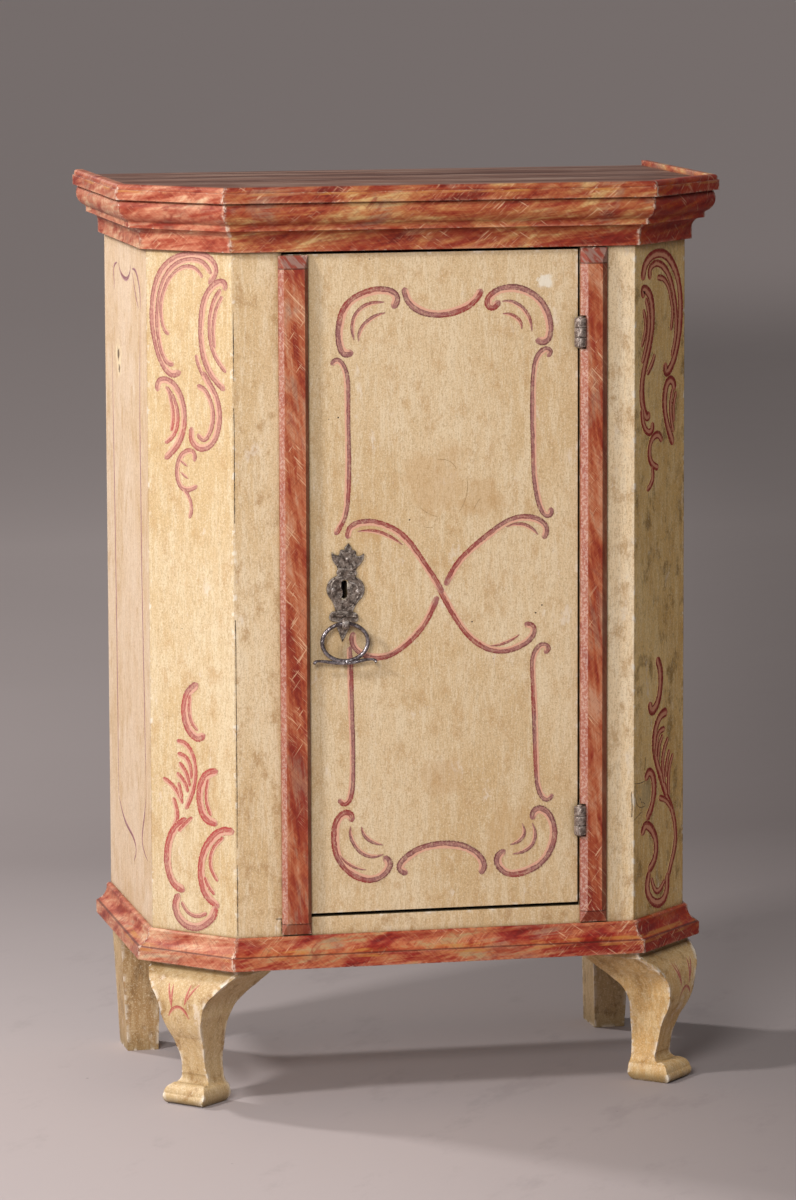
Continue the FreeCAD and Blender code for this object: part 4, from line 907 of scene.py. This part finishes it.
# %% Paint the scrolls of the door
DOOR_STROKES = (
    ("broad", ((75, 639), (70, 638), (65, 645), (63, 660), (65, 674), (68, 686), (75, 697), (87, 704),
        (101, 709), (115, 710), (127, 707), (131, 700), (128, 693))),
    ("slim", ((81, 654), (79, 662), (79, 671), (81, 680), (87, 688), (95, 694), (106, 696),
        (116, 696))),
    ("slim", ((86, 652), (86, 660), (90, 669), (99, 677), (108, 682), (117, 684))),
    ("broad", ((226, 704), (222, 697), (212, 689), (199, 684), (186, 681), (172, 681), (160, 684),
        (149, 690), (142, 699), (140, 707))),
    ("broad", ((246, 691), (241, 686), (235, 691), (237, 699), (245, 706), (257, 709), (269, 709),
        (282, 705), (294, 697), (302, 686), (307, 673), (308, 662), (307, 652), (302, 647),
        (296, 648))),
    ("slim", ((252, 694), (261, 695), (272, 690), (280, 682), (286, 671), (287, 659))),
    ("slim", ((253, 680), (261, 680), (270, 675), (275, 669), (275, 662))),
    ("upright", ((57, 629), (60, 632), (66, 630), (71, 620), (73, 608), (73, 591), (73, 556),
        (74, 521), (73, 487), (72, 466), (69, 452), (63, 442), (60, 437))),
    ("upright", ((309, 454), (309, 449), (302, 448), (296, 459), (292, 477), (289, 498), (289, 524),
        (288, 559), (288, 594), (289, 613), (291, 626), (296, 635), (303, 640), (309, 637),
        (307, 633))),
    ("swept_out", ((282, 324), (288, 323), (290, 315), (283, 305), (269, 298), (255, 294), (240, 296),
        (225, 303), (212, 314), (201, 329), (191, 346), (182, 363), (176, 374))),
    ("swept_out", ((73, 433), (74, 441), (82, 446), (97, 448), (112, 445), (129, 437), (141, 426),
        (151, 413), (162, 396), (173, 380), (182, 364))),
    ("slim", ((84, 437), (99, 438), (112, 435), (125, 428), (136, 420))),
    ("slim", ((272, 313), (264, 307), (251, 301), (238, 301))),
    ("swept_in", ((186, 373), (195, 390), (204, 402), (216, 413), (229, 423), (242, 433), (255, 442),
        (268, 447), (283, 448), (298, 443), (305, 434), (302, 426))),
    ("slim", ((257, 437), (268, 441), (279, 439), (288, 434), (294, 427))),
    ("swept_in", ((176, 359), (169, 343), (160, 327), (150, 316), (139, 306), (128, 298), (117, 293),
        (104, 292), (93, 295), (82, 301), (77, 310), (78, 318))),
    ("upright", ((74, 302), (74, 296), (75, 285), (75, 244), (77, 197), (77, 160), (76, 140),
        (73, 128), (67, 124), (63, 128))),
    ("upright", ((309, 124), (305, 120), (299, 123), (294, 134), (292, 149), (291, 186), (290, 224),
        (288, 262), (287, 282), (290, 292), (295, 299), (301, 301), (307, 297), (304, 293))),
    ("broad", ((116, 59), (120, 55), (117, 46), (108, 38), (95, 36), (83, 40), (72, 47), (63, 57),
        (57, 70), (56, 86), (56, 100), (61, 110), (68, 115), (74, 113), (75, 109))),
    ("slim", ((92, 48), (78, 50), (68, 57), (62, 66))),
    ("slim", ((112, 65), (103, 62), (92, 64), (83, 71), (77, 80), (73, 90), (74, 99))),
    ("slim", ((112, 76), (103, 78), (94, 83), (88, 90), (87, 98))),
    ("broad", ((136, 44), (131, 47), (132, 53), (140, 61), (153, 69), (167, 73), (185, 74), (203, 72),
        (217, 65), (226, 57), (230, 48), (228, 42))),
    ("broad", ((288, 103), (289, 108), (295, 111), (304, 107), (310, 97), (313, 84), (311, 70),
        (306, 58), (297, 47), (286, 41), (271, 36), (259, 36), (250, 42), (245, 51), (247, 58),
        (251, 61))),
    ("slim", ((287, 94), (291, 85), (290, 74), (285, 66), (275, 60), (264, 59))),
    ("slim", ((275, 94), (279, 85), (276, 77), (269, 72), (261, 70))),
)
DOOR_SHEET = sheet(-0.1745, -0.170, 0.220, 0)
paint_strokes("door_scrolls", "door", DOOR_STROKES, DOOR_SHEET, DOOR_SCROLL)

# %% Paint the scrolls of the left slanted board
LEFT_STROKES = (
    ("broad", ((43, 676), (34, 673), (25, 681), (17, 694), (12, 711), (8, 731), (8, 750), (11, 770),
        (18, 787), (30, 801), (47, 809), (66, 812), (84, 811), (96, 803), (99, 792), (91, 782))),
    ("band", ((34, 686), (28, 687), (21, 698), (17, 713), (15, 731), (16, 749), (18, 766), (25, 782),
        (36, 796), (52, 804), (69, 806), (82, 802), (89, 793))),
    ("brush", ((29, 721), (24, 725), (21, 738), (20, 753), (25, 769), (33, 784), (47, 795), (60, 798),
        (71, 795), (77, 788))),
    ("broad", ((105, 663), (97, 669), (88, 679), (81, 692), (77, 707), (76, 725), (77, 742), (80, 758),
        (87, 771), (98, 781), (109, 782), (110, 777))),
    ("band", ((108, 683), (97, 695), (91, 708), (88, 725), (89, 743), (94, 759), (102, 770))),
    ("brush", ((95, 710), (93, 726), (95, 739), (98, 752), (105, 763))),
    ("brush", ((79, 675), (73, 685), (70, 695))),
    ("broad", ((81, 675), (87, 666), (95, 656), (101, 641), (101, 625), (98, 610), (91, 598),
        (80, 592), (69, 593), (61, 601), (62, 611))),
    ("band", ((74, 662), (82, 659), (89, 647), (93, 634), (91, 618), (85, 606), (79, 601), (73, 606))),
    ("broad", ((15, 659), (16, 667), (29, 669), (42, 660), (50, 645), (53, 627), (50, 609), (42, 593),
        (28, 581))),
    ("band", ((29, 657), (37, 648), (42, 635), (43, 622), (39, 606), (28, 598))),
    ("brush", ((31, 652), (35, 639), (37, 626), (34, 613))),
    ("band", ((66, 548), (55, 543), (45, 547), (41, 558), (41, 571), (47, 584), (58, 590), (66, 588),
        (66, 581))),
    ("slim", ((56, 571), (53, 573), (50, 575), (46, 577))),
    ("slim", ((57, 557), (54, 559), (50, 561), (46, 564))),
    ("brush", ((52, 543), (59, 535), (62, 524), (59, 515))),
    ("wide", ((72, 263), (66, 260), (56, 267), (49, 280), (48, 298), (53, 313), (63, 320))),
    ("brush", ((65, 272), (58, 279), (55, 292), (57, 307))),
    ("band", ((41, 255), (50, 254), (59, 244), (64, 229), (63, 211), (58, 195), (51, 181))),
    ("band", ((42, 240), (50, 238), (56, 230), (57, 217))),
    ("band", ((43, 228), (50, 221), (54, 208))),
    ("band", ((40, 216), (48, 209), (51, 201))),
    ("band", ((21, 209), (29, 205), (37, 197), (43, 187))),
    ("band", ((40, 204), (43, 193))),
    ("band", ((33, 186), (37, 175), (37, 164), (31, 155))),
    ("wide", ((88, 166), (78, 168), (71, 178), (68, 194), (71, 209), (79, 221), (89, 224))),
    ("brush", ((84, 176), (79, 186), (78, 199), (81, 212))),
    ("wide", ((41, 85), (32, 88), (25, 99), (22, 114), (23, 129), (27, 145), (35, 156), (46, 163))),
    ("brush", ((41, 153), (46, 158), (56, 167))),
    ("wide", ((90, 72), (79, 78), (73, 88), (70, 103), (70, 119), (76, 135), (87, 149), (100, 158),
        (111, 158))),
    ("brush", ((92, 101), (84, 111), (83, 124), (88, 138), (100, 148))),
    ("brush", ((87, 85), (81, 91), (77, 99))),
    ("wide", ((89, 64), (86, 56), (75, 46), (61, 41), (48, 43), (37, 51), (32, 64), (36, 73))),
    ("brush", ((75, 59), (64, 54), (51, 57), (44, 67))),
)
LEFT_SHEET = sheet(-0.315, -0.083, 0.160, -46.7)
paint_strokes("left_scrolls", "case", LEFT_STROKES, LEFT_SHEET, LEFT_SCROLL, fullness=0.9)

# %% Paint the scrolls of the right slanted board
RIGHT_STROKES = (
    ("broad", ((19, 778), (21, 788), (33, 799), (54, 803), (74, 800), (91, 788), (104, 771),
        (109, 751), (110, 731), (108, 711), (102, 691), (94, 676), (81, 663), (73, 664), (73, 670))),
    ("band", ((35, 777), (33, 784), (43, 791), (58, 791), (74, 783), (87, 768), (95, 750), (99, 731),
        (100, 715), (97, 698), (90, 684))),
    ("brush", ((56, 774), (68, 773), (81, 763), (87, 746), (92, 732), (87, 714))),
    ("broad", ((19, 758), (17, 764), (29, 762), (39, 752), (42, 736), (42, 720), (37, 704), (31, 689),
        (23, 674), (17, 659), (16, 643), (19, 627), (28, 615), (32, 617))),
    ("band", ((27, 749), (34, 734), (34, 717), (29, 701), (19, 682))),
    ("brush", ((21, 737), (26, 725), (25, 713), (17, 700))),
    ("brush", ((46, 684), (40, 675), (31, 667))),
    ("band", ((42, 605), (42, 599), (32, 596), (19, 607), (17, 623))),
    ("broad", ((90, 583), (80, 598), (73, 614), (70, 630), (73, 646), (81, 655), (92, 653), (94, 646))),
    ("brush", ((92, 596), (85, 613), (85, 629), (90, 641))),
    ("brush", ((94, 608), (92, 624), (98, 637))),
    ("band", ((53, 556), (40, 560), (34, 570), (35, 582), (42, 592), (57, 595), (63, 588))),
    ("brush", ((42, 555), (45, 545), (38, 536), (32, 533))),
    ("broad", ((57, 330), (64, 319), (64, 302), (60, 286), (51, 275), (40, 273), (38, 280))),
    ("broad", ((80, 168), (69, 186), (58, 205), (49, 223), (48, 240), (52, 256), (64, 267), (75, 268))),
    ("brush", ((52, 222), (55, 239), (60, 248), (71, 249))),
    ("brush", ((58, 217), (60, 232), (67, 240))),
    ("brush", ((73, 188), (67, 208), (71, 224), (80, 235))),
    ("brush", ((76, 194), (78, 208), (84, 220))),
    ("brush", ((84, 171), (82, 184), (84, 201), (92, 214))),
    ("band", ((80, 168), (93, 151), (100, 133), (102, 116), (98, 100), (89, 86), (83, 72))),
    ("brush", ((63, 169), (76, 166), (87, 156))),
    ("broad", ((30, 199), (34, 205), (45, 200), (49, 187), (48, 173), (41, 159), (34, 152))),
    ("broad", ((21, 136), (26, 144), (39, 139), (52, 126), (55, 111), (50, 97), (39, 90))),
    ("broad", ((81, 73), (81, 54), (68, 44), (50, 46), (35, 57), (30, 70), (35, 82))),
    ("brush", ((72, 68), (61, 58), (50, 61), (43, 75))),
)
RIGHT_SHEET = sheet(0.233, -0.170, 0.160, 46.7)
paint_strokes("right_scrolls", "case", RIGHT_STROKES, RIGHT_SHEET, RIGHT_SCROLL, fullness=1.3)

# %% Paint the thin lines of the two sides
SIDE_STROKES = (
    ("line", ((189, 785), (180, 774), (140, 767), (113, 773), (102, 789))),
    ("line", ((200, 785), (221, 783), (229, 771), (218, 762), (223, 751))),
    ("line", ((41, 740), (38, 756), (46, 773), (72, 789), (94, 785))),
    ("line", ((92, 781), (82, 766), (70, 753), (54, 744))),
    ("line", ((42, 731), (54, 633), (48, 539), (50, 454), (43, 350), (37, 255), (33, 184))),
    ("line", ((227, 152), (225, 226), (228, 324), (230, 470), (236, 567), (240, 688))),
    ("line", ((123, 91), (94, 106), (121, 121), (164, 123), (199, 132), (227, 152))),
    ("line", ((33, 184), (43, 158), (69, 134), (65, 116), (29, 108))),
)
LEFT_SIDE_SHEET = sheet(-0.315, -0.083, 0.160, -90)
RIGHT_SIDE_SHEET = sheet(0.315, -0.083, 0.160, 90)
paint_strokes("left_side_lines", "case", SIDE_STROKES, LEFT_SIDE_SHEET, SIDE_SCROLL, True)
paint_strokes("right_side_lines", "case", SIDE_STROKES, RIGHT_SIDE_SHEET, SIDE_SCROLL)

# %% [markdown]
# Each front leg has two small forked strokes and a bow on its bulging face. A flat sheet
# would float off the curve of the leg, so a Shrinkwrap modifier drops it on the wood.

# %% Paint the marks on the front legs
LEFT_LEG_MARKS = (
    ("slim", ((43, 140), (47, 131), (51, 120), (52, 114))),
    ("slim", ((50, 139), (51, 130), (52, 121), (52, 113))),
    ("slim", ((74, 141), (73, 133), (71, 125), (70, 119))),
    ("slim", ((85, 142), (79, 135), (73, 126), (70, 118))),
    ("slim", ((47, 103), (50, 109), (55, 114), (62, 116), (69, 113), (73, 108), (76, 102))),
)
RIGHT_LEG_MARKS = (
    ("slim", ((42, 140), (46, 130), (51, 120), (53, 112))),
    ("slim", ((49, 139), (50, 130), (52, 120), (53, 112))),
    ("slim", ((80, 141), (77, 131), (72, 120), (71, 113))),
    ("slim", ((88, 140), (81, 131), (74, 121), (71, 112))),
    ("slim", ((52, 99), (56, 106), (61, 110), (67, 110), (73, 106), (77, 100))),
)
OFF_THE_LEG = 0.08
LEFT_LEG_SHEET = sheet(-0.315, -0.083, 0, -46.7, OFF_THE_LEG)
RIGHT_LEG_SHEET = sheet(0.233, -0.170, 0, 46.7, OFF_THE_LEG)
paint_strokes(
    "left_leg_marks", "case", LEFT_LEG_MARKS, LEFT_LEG_SHEET, LEG_SCROLL,
    onto=nodes["front_left_leg"], fullness=0.75)
paint_strokes(
    "right_leg_marks", "case", RIGHT_LEG_MARKS, RIGHT_LEG_SHEET, LEG_SCROLL,
    onto=nodes["front_right_leg"], fullness=0.75)

# %% [markdown]
# Two hundred years of dry rooms have opened the joints. The dark cracks are laid the
# same way as the scrolls, as very thin strokes whose width comes and goes.

# %% Open the cracks
FRONT_CRACKS = (
    ("crack", ((1.4, 908), (1.0, 890), (1.8, 872), (1.2, 850), (1.6, 830))),
    ("crack", ((1.2, 800), (1.8, 770), (1.2, 740), (1.6, 700), (1.2, 670))),
    ("crack", ((1.2, 560), (1.8, 530), (1.2, 490), (1.8, 450), (1.4, 400), (1.8, 350), (1.2, 300))),
    ("crack", ((1.2, 280), (1.6, 250), (1.2, 220), (1.4, 198))),
    ("crack", ((46, 215.5), (49, 215.3), (52, 215.5))),
    ("crack", ((51.6, 215), (52, 206), (51.6, 198))),
    ("crack", ((463, 345), (464.2, 330), (463.4, 316))),
)
RIGHT_CRACKS = (
    ("crack", ((1, 195), (10, 192.5), (18, 193.5), (25, 194))),
    ("hair_crack", ((2, 192), (2.5, 182), (5, 172), (10, 166), (18, 164), (28, 165))),
    ("hair_crack", ((14, 176), (18, 173), (16, 168), (22, 171), (27, 167))),
    ("hair_crack", ((0, 152), (8, 155), (17, 159))),
    ("hair_crack", ((28, 222), (27, 213), (25, 207))),
)
DOOR_CRACKS = (
    ("hair_crack", ((156, 463), (160, 458), (166, 454), (176, 451))),
    ("hair_crack", ((161, 440), (166, 438), (171, 439))),
    ("hair_crack", ((177, 516), (184, 516.5), (190, 515), (196, 510), (199, 505))),
    ("hair_crack", ((211, 495), (212, 484), (211, 474), (207, 464), (202, 456))),
    ("hair_crack", ((226, 470), (222, 465), (219, 458))),
)
FRONT_SHEET = sheet(-0.233, -0.170, 0, 0)
paint_strokes("front_cracks", "case", FRONT_CRACKS, FRONT_SHEET, DARK_CRACK)
paint_strokes("right_slant_cracks", "case", RIGHT_CRACKS, RIGHT_SHEET, DARK_CRACK)
paint_strokes("door_cracks", "door", DOOR_CRACKS, DOOR_SHEET, SOFT_CRACK)

# %% [markdown]
# The ring is a bent wire of uneven thickness, and under it hangs a bar that flares into
# two curled tails, held by a turned collar. A smith bends them from round rod, so each
# is a NURBS curve with a round section whose radius changes from point to point. The
# frame's plain ring keeps doing the collisions, and this one is shown in its place.

# %% Forge the ring
RING_TOP = Vector((-0.108, -0.182, 0.554))
RING_HALF = (26.4, 21.4)
RING_WIRE = 2.4
BAR_SWELL = 1.15


def forged_wire(name, places, closed=False, fineness=4):
    """A round rod through places (x, y, z, radius), in millimetres."""
    curve = new_curve(name)
    curve.bevel_depth = 0.001
    curve.bevel_resolution = 3
    curve.use_fill_caps = True
    add_line(curve, places, fineness, closed)
    return as_mesh(name, curve)


def joined(name, pieces):
    """Several meshes as one piece."""
    pick(*pieces)
    bpy.ops.object.join()
    whole = bpy.context.object
    whole.name = name
    bpy.ops.object.shade_smooth_by_angle(angle=math.radians(50))
    return whole


def fitted(piece, body, finish, replaced=None):
    """Gives an iron piece its finish and its place in the frame."""
    wear(piece, finish)
    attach(piece, body)
    if replaced:
        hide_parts(replaced)
    print(piece.name, len(piece.data.polygons), "faces")


def under_ring(across, up, radius):
    """A place in the ring's plane, from the top of the ring, and the radius there."""
    return (RING_TOP.x * 1000 + across, RING_TOP.y * 1000, RING_TOP.z * 1000 + up, radius)


SPLINE_PULL = (2 + math.cos(math.radians(30))) / 3
oval = []
for step in range(12):
    angle = math.radians(30 * step)
    across = RING_HALF[0] / SPLINE_PULL * math.sin(angle)
    up = RING_HALF[1] / SPLINE_PULL * math.cos(angle) - RING_HALF[1]
    oval.append(under_ring(across, up, RING_WIRE + 0.12 * math.sin(2.1 * step)))
BAR_PLACES = (
    (-34.9, -44.4, 0.6), (-34.9, -45.2, 2.2), (-35.3, -43.4, 1.9), (-33.2, -42.0, 1.25), (-29.0, -42.0, 1.3),
    (-22.5, -42.8, 1.7), (-15.0, -44.2, 1.9), (-7.0, -45.3, 1.7), (0.0, -45.6, 1.6), (7.0, -45.3, 1.7),
    (15.0, -43.8, 1.9), (22.5, -42.2, 1.7), (29.0, -41.6, 1.3), (33.6, -42.2, 1.25), (35.6, -43.8, 1.8),
    (35.0, -45.4, 2.1), (34.8, -44.6, 0.6),
)
COLLAR_PLACES = (
    (-2.9, -44.2, 1.9), (-2.2, -44.2, 3.4), (-1.1, -44.2, 3.2), (0.0, -44.2, 2.7), (1.1, -44.2, 3.2),
    (2.2, -44.2, 3.4), (2.9, -44.2, 1.9),
)
ring = joined("forged_ring", [
    forged_wire("ring_oval", oval, True, 6),
    forged_wire("ring_bar", [under_ring(x, z, radius * BAR_SWELL) for x, z, radius in BAR_PLACES]),
    forged_wire("ring_collar", [under_ring(*place) for place in COLLAR_PLACES], False, 6),
])
fitted(ring, "ring", RING_IRON, "ring_handle")

# %% [markdown]
# The ring hangs in an eye: a small loop of iron with a thick worn front, whose shank
# goes through the plate. A torus is the start. It is turned to stand across the door,
# made wider, and its front is pulled out to a knob.

# %% Forge the eye
EYE_FRONT = -0.1889
EYE_DEPTH = 0.0138
EYE_WIDTH = 1.45
KNOB_WIDTH = 0.85
EYE_SHIFT = 0.0006

bpy.ops.mesh.primitive_torus_add(
    major_segments=28, minor_segments=14, major_radius=0.0050, minor_radius=0.0019,
    location=RING_TOP, rotation=(0, math.radians(90), 0))
loop = bpy.context.object
loop.name = "eye_loop"
settle(loop)
for vertex in loop.data.vertices:
    from_front = (vertex.co.y - EYE_FRONT) / EYE_DEPTH
    wide = EYE_WIDTH + KNOB_WIDTH * max(0.0, 1 - from_front * 1.6)
    vertex.co.x = RING_TOP.x + (vertex.co.x - RING_TOP.x) * wide
    vertex.co.y += EYE_SHIFT
SHANK_PLACES = ((-178.2, 2.0), (-177.0, 2.4), (-175.4, 2.6), (-173.6, 3.4), (-172.4, 4.0), (-171.2, 4.0))
shank = forged_wire("eye_shank", [(-108, y, 554, radius) for y, radius in SHANK_PLACES])
eye = joined("forged_eye", [loop, shank])
fitted(eye, "door", HIGHLIGHTED_RIVET_IRON, "handle_eye")

# %% [markdown]
# The plate is more than a flat cut-out. The smith raised a rim round the heart, left two
# ridges above it and one below, rolled a collar with two ears under that, and closed it
# with three domed rivets. All of it is low relief, so rods and domes that sink half into
# the plate do it.

# %% Raise the relief of the plate
PLATE_MIDDLE = (-105.0, 591.0)
PLATE_FACE = -171.6
PLATE_LEAN = math.radians(4.0)


def on_plate(across, up, out, radius):
    """A place on the leaning plate, in millimetres from the keyhole."""
    x = PLATE_MIDDLE[0] + across * math.cos(PLATE_LEAN) + up * math.sin(PLATE_LEAN)
    z = PLATE_MIDDLE[1] - across * math.sin(PLATE_LEAN) + up * math.cos(PLATE_LEAN)
    return (x, PLATE_FACE - out, z, radius)


RIDGES = ((17.6, 8.2, 0.7), (23.5, 9.6, 0.55), (-25.6, 8.4, 0.8))
HEART_RIM = ((5.5, 14.2), (10.5, 13.2), (15.2, 9.6), (17.4, 3.5), (16.6, -4.0), (12.6, -12.5), (8.6, -19.5))
relief = []
for hand in (-1, 1):
    rim = [on_plate(hand * across, up, 0.0, 0.55) for across, up in HEART_RIM]
    relief.append(forged_wire("heart_rim", rim))
for up, half, radius in RIDGES:
    ridge = [on_plate(half * share, up, 0.0, radius) for share in (-1.0, -0.5, 0.0, 0.5, 1.0)]
    relief.append(forged_wire("ridge", ridge))
EAR_PLACES = (
    (-15.6, 1.2), (-14.9, 2.5), (-12.6, 2.5), (-11.0, 1.3), (-8.0, 1.2), (-5.0, 2.0), (0.0, 2.4),
    (5.0, 2.0), (8.0, 1.2), (11.0, 1.3), (12.6, 2.5), (14.9, 2.5), (15.6, 1.2),
)
eared = [on_plate(across, -30.0, 0.3, radius) for across, radius in EAR_PLACES]
relief.append(forged_wire("eared_collar", eared))
fitted(joined("plate_relief", relief), "door", PLATE_IRON)

# %% [markdown]
# A rivet head starts as a low disc. The rim of its front is bevelled in a few steps,
# which domes it, and the one head is then copied to the three places.

# %% Set the rivets
RIVET_RADIUS = 0.0031
RIVET_HEIGHT = 0.0028


def bevelled_disc(name, sides, radius, length, place, lean, chosen, width, steps):
    """A round disc, with the edges that are chosen bevelled in some steps."""
    bpy.ops.mesh.primitive_cylinder_add(
        vertices=sides, radius=radius, depth=length, location=place, rotation=(math.radians(lean), 0, 0))
    disc = bpy.context.object
    disc.name = name
    settle(disc)
    bpy.ops.object.mode_set(mode="EDIT")
    bpy.ops.mesh.select_mode(type="EDGE")
    bpy.ops.mesh.select_all(action="DESELECT")
    grid = bmesh.from_edit_mesh(disc.data)
    for edge in grid.edges:
        edge.select_set(chosen(edge))
    bmesh.update_edit_mesh(disc.data)
    bpy.ops.mesh.bevel(offset=width, segments=steps, affect="EDGES")
    bpy.ops.object.mode_set(mode="OBJECT")
    return disc


def at_the_front(edge):
    return all(vertex.co.y < 0 for vertex in edge.verts)


RIVET_PLACES = ((0.0, 34.5), (-14.3, -1.0), (14.3, -1.0))
rivet = bevelled_disc(
    "rivet", 16, RIVET_RADIUS, RIVET_HEIGHT, (0, 0, 0), 90, at_the_front, RIVET_HEIGHT * 0.85, 4)
heads = []
for across, up in RIVET_PLACES:
    place = on_plate(across, up, 0.0, 0.0)
    head = rivet.copy()
    head.data = rivet.data.copy()
    bpy.context.scene.collection.objects.link(head)
    head.location = [part / 1000 for part in place[:3]]
    settle(head)
    heads.append(head)
bpy.data.objects.remove(rivet)
GUARD_PLACES = (
    (2.6, 10.6, 0.6), (4.6, 8.6, 1.1), (8.0, 7.8, 1.2), (11.0, 7.0, 1.2), (13.6, 4.2, 1.4), (14.6, 1.0, 0.8),
)
guard = [on_plate(across, up, 0.4, radius) for across, up, radius in GUARD_PLACES]
heads.append(forged_wire("key_guard", guard))
fitted(joined("rivets_and_guard", heads), "door", HIGHLIGHTED_RIVET_IRON, "escutcheon_nails")

# %% [markdown]
# The hinges are strips of iron, rolled round their pins. A rolled knuckle is fatter than
# the drawn one and has a lap where the strip ends, so each gets a skin: a disc with its
# rims bevelled off, and a thin rod down its front for the lap.

# %% Roll the knuckles of the hinges
HINGE_PIN = (0.16725, -0.177)
KNUCKLE_RADIUS = 0.0069
KNUCKLE_LENGTH = 0.0104
KNUCKLE_STEP = 0.0111
RIM_WIDTH = 0.0006


def on_a_rim(edge):
    return edge.calc_face_angle() > math.radians(60)


def rolled_knuckle(name, middle):
    """The skin of one knuckle, as a disc and a lap, at a height in metres."""
    knuckle = bevelled_disc(
        name, 32, KNUCKLE_RADIUS, KNUCKLE_LENGTH, (*HINGE_PIN, middle), 0, on_a_rim, RIM_WIDTH, 2)
    front = (HINGE_PIN[1] - KNUCKLE_RADIUS) * 1000 + 1.0
    ends = [middle * 1000 + half * KNUCKLE_LENGTH * 1000 for half in (-0.44, -0.2, 0.2, 0.44)]
    lap = forged_wire(name + "_lap", [(HINGE_PIN[0] * 1000 - 3.4, front, end, 0.6) for end in ends])
    return [knuckle, lap]


for name, middle in (("lower", 0.3160), ("upper", 0.8775)):
    low = rolled_knuckle("low_knuckle", middle - KNUCKLE_STEP)
    high = rolled_knuckle("high_knuckle", middle + KNUCKLE_STEP)
    fitted(joined(name + "_post_knuckles", low + high), "case", HINGE_IRON)
    fitted(joined(name + "_door_knuckle", rolled_knuckle("middle_knuckle", middle)), "door", HINGE_IRON)
